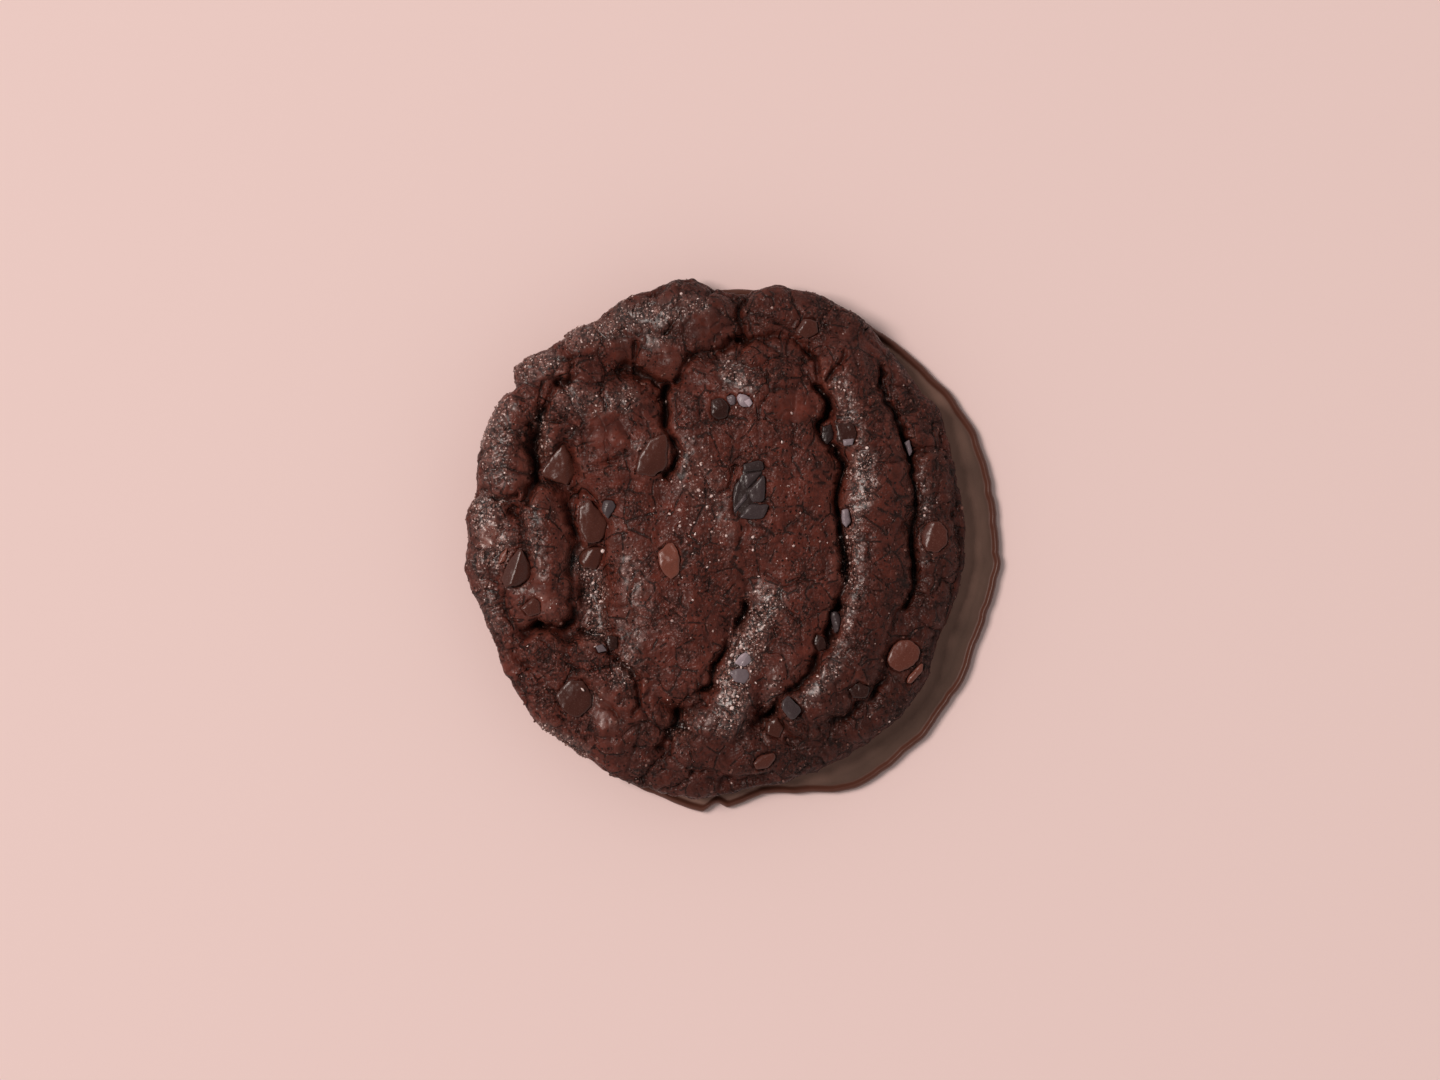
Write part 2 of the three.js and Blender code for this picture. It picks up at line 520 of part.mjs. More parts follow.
function geometryFrom(solid) {
  const { vertProperties, triVerts } = solid.getMesh();
  const geometry = new THREE.BufferGeometry();
  geometry.setAttribute("position", new THREE.BufferAttribute(vertProperties, 3));
  geometry.setIndex(new THREE.BufferAttribute(triVerts, 1));
  geometry.computeVertexNormals();
  return geometry;
}

function fusedDough() {
  let solid = solidFrom(doughGeometry());
  for (const drop of drops) solid = solid.add(solidFrom(placePiece(dropGeometry(drop), drop)));
  for (const chunk of chunks) solid = solid.add(solidFrom(placePiece(chunkGeometry(chunk), chunk)));
  return geometryFrom(solid);
}

function namedMesh(name, geometry, material) {
  const mesh = new THREE.Mesh(geometry, material);
  mesh.name = name;
  return mesh;
}

const doughMaterial = new THREE.MeshStandardMaterial({
  color: colours.dough,
  roughness: 0.62,
  metalness: 0,
});
const baseMaterial = new THREE.MeshStandardMaterial({
  color: colours.base,
  roughness: 0.3,
  metalness: 0,
});

const cookie = new THREE.Group();
cookie.add(namedMesh("cookie_dough", fusedDough(), doughMaterial));
cookie.add(namedMesh("chocolate_base", geometryFrom(solidFrom(baseGeometry())), baseMaterial));
cookie.children.forEach((mesh) => mesh.position.set(-middleOfOutline[0], -middleOfOutline[1], 0));

export default cookie;
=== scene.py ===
# %% [markdown]
# # A double chocolate cookie on a set chocolate base
# This lesson dresses a measured solid of a cookie until it looks freshly baked: folded, cracked
# dough with glossy drops and broken chunks of chocolate in it, standing on a thin disc of set
# chocolate. Every shape is a formula over a grid, worked out with numpy as whole arrays.
# The solid is loaded first, because everything made below has to sit where it sits.

import math

import bpy
import numpy as np
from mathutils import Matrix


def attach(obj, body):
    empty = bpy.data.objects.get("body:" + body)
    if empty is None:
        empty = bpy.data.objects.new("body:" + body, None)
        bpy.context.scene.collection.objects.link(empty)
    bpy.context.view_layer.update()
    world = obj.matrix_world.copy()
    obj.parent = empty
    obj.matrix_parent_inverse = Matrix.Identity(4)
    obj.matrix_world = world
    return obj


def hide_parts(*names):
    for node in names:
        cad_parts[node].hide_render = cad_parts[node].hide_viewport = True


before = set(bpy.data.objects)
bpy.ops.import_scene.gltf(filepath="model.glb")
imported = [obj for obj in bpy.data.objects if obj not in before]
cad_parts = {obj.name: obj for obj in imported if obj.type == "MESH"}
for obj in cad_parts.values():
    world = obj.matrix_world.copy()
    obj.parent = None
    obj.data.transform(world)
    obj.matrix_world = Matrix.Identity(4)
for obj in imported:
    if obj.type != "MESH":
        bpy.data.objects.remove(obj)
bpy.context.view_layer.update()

# %% [markdown]
# ## Sizes and the plan
# All sizes below are millimetres. The layout is measured from the middle of the dough, +X right
# and +Y away, and moved into the frame only when a mesh is written. The heights repeat those of
# the solid, so that the fine surface lies on the coarse one.

# %% Driving sizes
DOUGH_RADIUS = 50.0
DOUGH_CROWN = 11.6
DOUGH_WAIST = 6.2
DOUGH_FOOT = 1.8
FOOT_TUCK = 2.2
SIDE_SQUARENESS = 3.4
BASE_RADIUS = 52.3
BASE_CENTRE = np.array([4.5, -1.9])
PLAN_SHIFT = np.array([-3.3, 1.1, 0.0])
MM = 0.001
print("dough, mm across and high:", 2 * DOUGH_RADIUS, DOUGH_CROWN)

# %% [markdown]
# ## Putting arrays into meshes
# A mesh needs points and faces. One helper takes both as arrays in millimetres, shifts them into
# the frame and writes them, so that every piece is made the same way and its object stays at the
# origin. Numbers that vary over the surface, such as how deep in a crack a point lies, are kept
# as named attributes for the materials to read.

# %% Mesh helper
def add_piece(name, points, faces, masks=None, smooth=True):
    """Mesh object from points in millimetres, lists of corner indices and named masks."""
    mesh = bpy.data.meshes.new(name)
    mesh.from_pydata(((points + PLAN_SHIFT) * MM).tolist(), [], faces)
    mesh.polygons.foreach_set("use_smooth", np.full(len(mesh.polygons), smooth))
    for mask_name, values in (masks or {}).items():
        attribute = mesh.attributes.new(mask_name, "FLOAT", "POINT")
        attribute.data.foreach_set("value", np.asarray(values, dtype=np.float32).ravel())
    mesh.update()
    piece = bpy.data.objects.new(name, mesh)
    bpy.context.scene.collection.objects.link(piece)
    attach(piece, "root")
    print(f"{name}: {len(points)} points, {sum(len(face) - 2 for face in faces)} triangles")
    return piece


def smoothstep(low, high, x):
    """0 below low, 1 above high and an S-shaped rise between."""
    t = np.clip((x - low) / (high - low), 0.0, 1.0)
    return t * t * (3.0 - 2.0 * t)


# %% [markdown]
# ## Noise
# Dough is uneven at every scale. Value noise gives each lattice point a scrambled height and
# blends between them. Layers of it, each twice as fine and weaker, make lumps on lumps, and
# folding each layer at its middle makes puffed lumps with creases. A cell pattern gives the
# crackle: it is darkest where the two nearest of many scattered points are equally near.

# %% Noise functions
def lattice_value(i, j, layer):
    """Scrambled number from 0 to 1 for each whole-numbered place of a layer."""
    word = 0xFFFFFFFF
    mixed = (i.astype(np.int64) * 374761393 + j.astype(np.int64) * 668265263) & word
    mixed = (mixed + layer * 2147483647) & word
    stirred = ((mixed ^ (mixed >> 13)) * 1274126177) & word
    return ((stirred ^ (stirred >> 16)) & 0xFFFFFF) / float(0xFFFFFF)


def value_noise(x, y, layer):
    """Lattice values blended smoothly between their places."""
    i, j = np.floor(x), np.floor(y)
    u, v = x - i, y - j
    u = u * u * u * (u * (u * 6.0 - 15.0) + 10.0)
    v = v * v * v * (v * (v * 6.0 - 15.0) + 10.0)
    near = lattice_value(i, j, layer) * (1.0 - u) + lattice_value(i + 1, j, layer) * u
    far = lattice_value(i, j + 1, layer) * (1.0 - u) + lattice_value(i + 1, j + 1, layer) * u
    return near * (1.0 - v) + far * v


def layered_noise(x, y, layer, octaves=3, gain=0.5, puffs=False):
    """Sum of ever finer and weaker noise from -1 to 1; puffs takes each layer's absolute value."""
    total, weight, strength = 0.0, 0.0, 1.0
    for k in range(octaves):
        value = value_noise(x * 2**k + 17.3 * k, y * 2**k - 9.1 * k, layer + k) * 2.0 - 1.0
        total = total + strength * (np.abs(value) if puffs else value)
        weight += strength
        strength *= gain
    return total / weight


def cell_distances(x, y, layer):
    """Distance to the nearest and the second nearest of one scattered point per unit cell."""
    i, j = np.floor(x), np.floor(y)
    first, second = np.full(x.shape, 9.0), np.full(x.shape, 9.0)
    for di in (-1, 0, 1):
        for dj in (-1, 0, 1):
            px = i + di + lattice_value(i + di, j + dj, layer)
            py = j + dj + lattice_value(i + di, j + dj, layer + 77)
            d = np.hypot(x - px, y - py)
            second = np.where(d < first, first, np.minimum(second, d))
            first = np.minimum(first, d)
    return first, second


# %% [markdown]
# ## Outlines
# Seen from above, dough and base are circles that swell and dent in places. Each bump is full at
# its own angle and dies away at its half width, so a handful of rows describes the whole outline
# and the same rows serve any number of points.

# %% Outlines of dough and base
DOUGH_BUMPS = [  # angle in degrees, half width in degrees, rise
    (0, 12, 0.4), (30, 14, 1.4), (62, 28, 2.7), (86, 10, -1.6), (98, 22, 2.2), (137, 9, 2.0),
    (143, 3, -1.6), (168, 12, -0.8), (203, 16, -2.0), (230, 26, 0.5), (260, 28, 1.8),
    (320, 14, 0.7), (338, 12, -1.2),
]
BASE_BUMPS = [
    (25, 16, 0.8), (37, 6, 0.4), (80, 12, -0.2), (240, 28, -0.7), (262, 16, 1.1),
    (265, 3, -1.5), (277, 16, -2.7), (300, 14, 1.2), (315, 8, 0.9), (342, 13, -0.8),
    (357, 4, 0.6),
]


def outline_radius(angle, radius, bumps):
    """Radius at an angle in degrees: the circle plus rise * (1 - t^2)^2 for every bump."""
    total = np.full(np.shape(angle), radius)
    for at, half_width, rise in bumps:
        away = np.abs((angle - at + 540.0) % 360.0 - 180.0)
        t = np.clip(away / half_width, 0.0, 1.0)
        total = total + rise * (1.0 - t * t) ** 2
    return total


def plan_angle(x, y):
    """Direction of a plan point in degrees, from 0 to 360."""
    return np.degrees(np.arctan2(y, x)) % 360.0


dough_edge = outline_radius(np.arange(360.0), DOUGH_RADIUS, DOUGH_BUMPS)
print(f"edge of the dough: {dough_edge.min():.1f} to {dough_edge.max():.1f} mm from its middle")


# %% [markdown]
# ## Folds and cracks
# While it bakes, the skin of the dough sets first and the soft middle pushes it into folds. They
# could be sculpted with a brush, but a stroke can't be moved afterwards. Here each fold is a row
# of numbers: a round-backed bank along a line. Taking a soft maximum of all the banks lets
# neighbours meet in a crease, as real folds do. The cracks are grooves: wide ones along the
# creases and thin ones across the lumps. Folds and wide cracks are the same as in the solid, so
# the fine surface folds where the coarse one does.

# %% Lines of the folds
FOLDS = [  # path, half width, crest above the plain dome, fall from crest to side
    ([(24.3, 34), (28.8, 26), (31.3, 16), (32, 5), (32.2, -6), (30.5, -15), (27, -23),
      (22.5, -29.5), (18, -33.5)], 6.6, 3.9, 5.6),
    ([(11, 29), (12.5, 20), (14, 9), (15.2, -2), (16.4, -9)], 10.6, 3.9, 5.2),
    ([(0, 31.5), (7, 33), (13, 31)], 6.2, 2.8, 4.2),
    ([(3, 27), (3.5, 14), (4.2, 2), (3.4, -8)], 8.0, 2.9, 3.0),
    ([(-2.5, 24), (-3, 12), (-4, 3), (-4, -8), (-4.5, -18), (-6, -25)], 8.8, 3.0, 4.8),
    ([(-16, 5), (-14, -5), (-12, -14), (-13, -23)], 8.6, 2.2, 4.0),
    ([(-27, 25), (-20, 23)], 9.6, 2.6, 4.6),
    ([(-24, 15), (-18.5, 13.6)], 5.2, 2.0, 3.6),
    ([(-14, 20), (-12.4, 16.5)], 4.6, 3.0, 3.6),
    ([(-22, 9.2), (-14, 9.2), (-8, 8)], 3.6, 1.6, 3.0),
    ([(-40, 27.5), (-42.5, 21), (-42, 13)], 5.8, 2.3, 4.4),
    ([(-45.5, 5.5), (-46, 1)], 4.2, 1.3, 3.2),
    ([(-47, -4), (-45, -12), (-42, -19)], 4.6, 0.6, 3.0),
    ([(-34.4, 7), (-33.6, 0), (-33, -7), (-32.2, -13)], 5.0, 2.5, 4.8),
    ([(-40, 1.5), (-39.5, -8), (-37.5, -14)], 4.2, 1.2, 3.2),
    ([(-36.4, 33), (-32.6, 33.4)], 5.2, 2.0, 4.0),
    ([(-27, 38), (-22, 39.5)], 6.2, 1.8, 4.0),
    ([(-17, 43), (-12, 41)], 6.6, 1.6, 3.6),
    ([(-5.5, 44.5), (-2.2, 43)], 7.6, 2.9, 5.0),
    ([(-11, 37), (-8.6, 35.6)], 4.6, 1.6, 3.4),
    ([(11, 45), (18, 44.5), (25, 41)], 6.6, 1.3, 3.6),
    ([(9, 38), (15, 36.6)], 4.2, 1.0, 3.0),
    ([(29, 36), (36, 29.5), (40.6, 23)], 5.4, 1.1, 3.4),
    ([(43.4, 14), (43.6, 8)], 4.6, 1.6, 3.4),
    ([(43.8, 1), (44, -6), (43, -11)], 4.8, 0.9, 3.0),
    ([(41.5, -15.5), (38.8, -18.5)], 4.2, 1.3, 3.0),
    ([(39.5, -25), (33, -33), (24, -40), (15, -44)], 5.6, 0.5, 3.0),
    ([(9.5, -14.5), (6.5, -20), (5.2, -26), (3.2, -33), (-1.5, -38.5)], 5.2, 3.4, 5.2),
    ([(17.2, -10), (15.8, -20), (12.2, -27)], 6.2, 3.3, 4.8),
    ([(-6, -42.8), (2, -42.6), (10, -41.4)], 5.2, 1.4, 3.6),
    ([(-24, -27.5), (-17, -29.5)], 7.2, 1.9, 4.0),
    ([(-15.5, -35.5), (-13.2, -37.3)], 4.6, 1.7, 3.6),
    ([(-23, -36), (-19.5, -39)], 4.6, 1.1, 3.2),
    ([(-39, -24), (-33, -33), (-24, -40), (-14, -45.5), (-4, -48)], 5.4, 0.5, 3.0),
    ([(-34.5, -23.5), (-30.5, -26.5)], 4.6, 1.2, 3.2),
]

# %% Lines of the cracks
CRACKS = [  # path, half width, depth
    ([(20, 30.8), (21.9, 27.5), (21.5, 24.9), (20.9, 21.2), (24.2, 16.4), (24.8, 8.6), (25, 2),
      (25.2, -5.5), (25.5, -11.5), (23.6, -15.1), (22.2, -18.8), (21.1, -22.5), (19.6, -26.2),
      (16.6, -29), (13.3, -31), (11.5, -33.4), (10.4, -36.6)], 1.2, 3.4),
    ([(33, 34.5), (33.3, 30.8), (34.4, 27.9), (36.3, 24.1), (37, 19.7), (38.3, 16), (38.8, 10),
      (39.4, 4.1), (39.5, -3), (39, -9.2), (37, -13.6), (35.6, -16.2), (34.4, -20.3)], 1.0, 2.4),
    ([(-32.2, 30.4), (-33, 27.9), (-35.4, 24.1), (-36.7, 19.7), (-36.5, 15), (-36.3, 11),
      (-37.2, 8.2), (-39.6, 5.8)], 1.1, 2.3),
    ([(-10.2, 29.8), (-10.3, 26.4), (-10.3, 23.4), (-8.9, 20.4), (-8.1, 17.5), (-8.7, 13.8),
      (-10.6, 12.9)], 1.15, 3.0),
    ([(6.3, -12.9), (5, -17), (2.4, -21), (0.4, -24.4), (-0.4, -29.2), (-4.1, -30.5),
      (-6.3, -32.3), (-7.8, -35.1), (-9.6, -38.4), (-10.9, -40.6)], 1.2, 3.0),
    ([(-4.8, -46.4), (0.4, -47.1), (5.6, -47.2), (11.5, -46)], 0.8, 1.6),
    ([(-28.5, 2.7), (-28.9, -5.5), (-28.4, -10.7), (-28.2, -14.8), (-30, -17.4), (-34, -17.8),
      (-40, -18.6)], 1.2, 2.6),
    ([(-26.2, -19), (-23.3, -20), (-20.4, -19.2)], 1.0, 2.2),
    ([(6.6, 48.5), (4.8, 44.9), (5.2, 41.9), (4.1, 39.7), (1.1, 38.2), (-3.3, 37.3),
      (-6.3, 33.8), (-8.2, 30.8)], 1.0, 1.7),
    ([(-32.2, 30.4), (-29, 32), (-25, 34.2), (-20, 34.8), (-15.9, 35), (-13.4, 32.6),
      (-10.6, 30.4)], 0.9, 0.7),
    ([(4.4, 40.4), (10, 40.6), (15.2, 39.6), (19.6, 35.5), (20.6, 31.4)], 0.9, 1.6),
    ([(21.9, 31.6), (24.4, 34.9), (25.6, 38.4)], 0.8, 1.4),
    ([(13.6, -34.6), (15.9, -36.4), (19.6, -37.6), (24.8, -36), (29, -32.4), (33, -28)], 1.0, 1.2),
    ([(5.6, 4), (5, -2), (5, -7), (6.2, -12.4)], 1.2, 0.7),
    ([(-45.5, 10.2), (-42, 8.6), (-39.4, 9.4)], 0.9, 1.8),
    ([(-30.4, 40.2), (-29.7, 36.8), (-28.9, 33.4), (-30.6, 30.6)], 0.8, 1.3),
    ([(-6.8, 44.6), (-8.6, 42.6), (-10.4, 40.6)], 0.8, 1.3),
    ([(-15.4, 39), (-14.9, 36), (-15.2, 33.4)], 0.8, 1.2),
    ([(-25, 14.8), (-22.6, 15.8), (-19.4, 16.6)], 0.8, 1.2),
    ([(-29.1, 19), (-28, 15), (-27.4, 10.4)], 0.8, 1.3),
    ([(-21.2, -23), (-17, -26.2), (-15.6, -32.4), (-17, -35)], 0.8, 1.3),
    ([(-40, -21.4), (-38, -25), (-35, -29.4)], 0.8, 1.3),
    ([(-24.4, -30), (-22, -32.6), (-20, -35.4)], 0.8, 1.1),
    ([(-9.4, -40), (-10.6, -43.6)], 0.8, 1.3),
    ([(8.1, -14.4), (10, -16), (11.9, -18.2)], 0.75, 1.0),
    ([(46.6, 16), (47.8, 11.5), (47.4, 6), (48.6, 0.5)], 0.8, 1.1),
    ([(15.4, -8.6), (18, -7.2), (21, -6)], 0.7, 0.8),
    ([(-31.2, -34.6), (-29, -36.2), (-26.4, -36)], 0.8, 1.3),
]
print(len(FOLDS), "folds and", len(CRACKS), "cracks")


# %% Distance to a smooth line
def smooth_path(path, points_per_span=5):
    """Uniform Catmull-Rom curve through the points, its end points repeated, as an array."""
    p = np.array(path, dtype=float)
    p = np.vstack([p[:1], p, p[-1:]])
    t = np.linspace(0.0, 1.0, points_per_span, endpoint=False)[:, None]
    spans = [
        0.5 * (2 * b + (c - a) * t + (2 * a - 5 * b + 4 * c - d) * t**2 + (3 * b - a - 3 * c + d) * t**3)
        for a, b, c, d in zip(p[:-3], p[1:-2], p[2:-1], p[3:])
    ]
    return np.vstack(spans + [p[-1:]])


def distance_to_path(x, y, path):
    """Distance from every plan point to the nearest place on the curve through a path."""
    curve = smooth_path(path)
    nearest = np.full(x.shape, np.inf)
    for start, end in zip(curve[:-1], curve[1:]):
        along = end - start
        t = ((x - start[0]) * along[0] + (y - start[1]) * along[1]) / (along @ along)
        t = np.clip(t, 0.0, 1.0)
        gap = np.hypot(x - start[0] - along[0] * t, y - start[1] - along[1] * t)
        nearest = np.minimum(nearest, gap)
    return nearest


# %% Shapes of one fold and one crack
FOLD_FLOOR = -2.4
FOLD_BLEND = 0.35
FOLD_SQUARENESS = 2.1
BANK_SPREAD = 1.07
ROUNDED_SHARE = 0.97
SKIRT_STEEPNESS = 2.2
LOWEST_SKIRT = -12.0


def fold_height(distance, half_width, crest, fall):
    """Quarter superellipse from crest to side, then a steep skirt that runs below the floor."""
    t = distance / (half_width * BANK_SPREAD)
    inner = np.minimum(t, ROUNDED_SHARE) ** FOLD_SQUARENESS
    rounded = 1.0 - (1.0 - inner) ** (1.0 / FOLD_SQUARENESS)
    beyond = np.maximum(0.0, t - ROUNDED_SHARE)
    return np.maximum(LOWEST_SKIRT, crest - fall * (rounded + SKIRT_STEEPNESS * beyond))


def groove_depth(distance, strength, half_width, depth):
    """Bell curve across the crack; where noise makes it stronger it is both deeper and wider."""
    width = half_width * (0.4 + 0.3 * strength)
    return depth * strength * np.exp(-((distance / width) ** 2))


# %% Height of folds and cracks
WANDER, WANDER_SIZE = 1.5, 7.0  # how far lines stray, and over what length
FRAY, FRAY_SIZE = 0.55, 2.1
SWELL, SWELL_SIZE = 0.9, 9.0
CRACK_LENGTH = 5.0  # over which a crack opens and closes


def wandered(x, y):
    """Plan place moved by two noises, one wide and one fine, so that straight lines stray."""
    wide, fine = WANDER_SIZE, FRAY_SIZE
    wx = x + WANDER * layered_noise(x / wide + 11.3, y / wide, 1, 3, 0.45)
    wy = y + WANDER * layered_noise(x / wide, y / wide + 27.9, 2, 3, 0.45)
    wx = wx + FRAY * layered_noise(x / fine, y / fine, 101, 2, 0.6)
    wy = wy + FRAY * layered_noise(x / fine, y / fine, 104, 2, 0.6)
    return wx, wy


def folded_height(x, y):
    """Soft maximum of all folds, log of a sum of exponentials, less the grooves of the cracks."""
    wx, wy = wandered(x, y)
    total = np.full(x.shape, math.exp(FOLD_FLOOR / FOLD_BLEND))
    for path, half_width, crest, fall in FOLDS:
        bank = fold_height(distance_to_path(wx, wy, path), half_width, crest, fall)
        total = total + np.exp(bank / FOLD_BLEND)
    height = FOLD_BLEND * np.log(total)
    height = height + SWELL * layered_noise(x / SWELL_SIZE, y / SWELL_SIZE, 40, 2)
    for order, (path, half_width, depth) in enumerate(CRACKS):
        uneven = layered_noise(x / CRACK_LENGTH, y / CRACK_LENGTH, 50 + order, 2)
        strength = np.clip(0.75 + 0.9 * uneven, 0.25, 1.3)
        height = height - groove_depth(distance_to_path(wx, wy, path), strength, half_width, depth)
    return height


def dome_height(x, y):
    """The plain dome: waist height plus a superellipse over the share of the way to the edge."""
    share = np.hypot(x, y) / outline_radius(plan_angle(x, y), DOUGH_RADIUS, DOUGH_BUMPS)
    rounded = (1.0 - np.minimum(1.0, share) ** SIDE_SQUARENESS) ** (1.0 / SIDE_SQUARENESS)
    return DOUGH_WAIST + (DOUGH_CROWN - DOUGH_WAIST) * rounded


# %% [markdown]
# ## Chocolate in the dough
# Three kinds of chocolate show: pale milk chips, dark chips, and broken chunks turned grey by
# fat bloom. Nearly all of them are low lumps with straight sides and one worn ridge. So each row
# of the table gives the corners seen from above, the height of the ridge over the dough, where
# the ridge runs and how steeply the two faces fall away from it. From the corners comes a gauge:
# the share of the way from the middle to the edge. It shapes the piece and its socket alike.

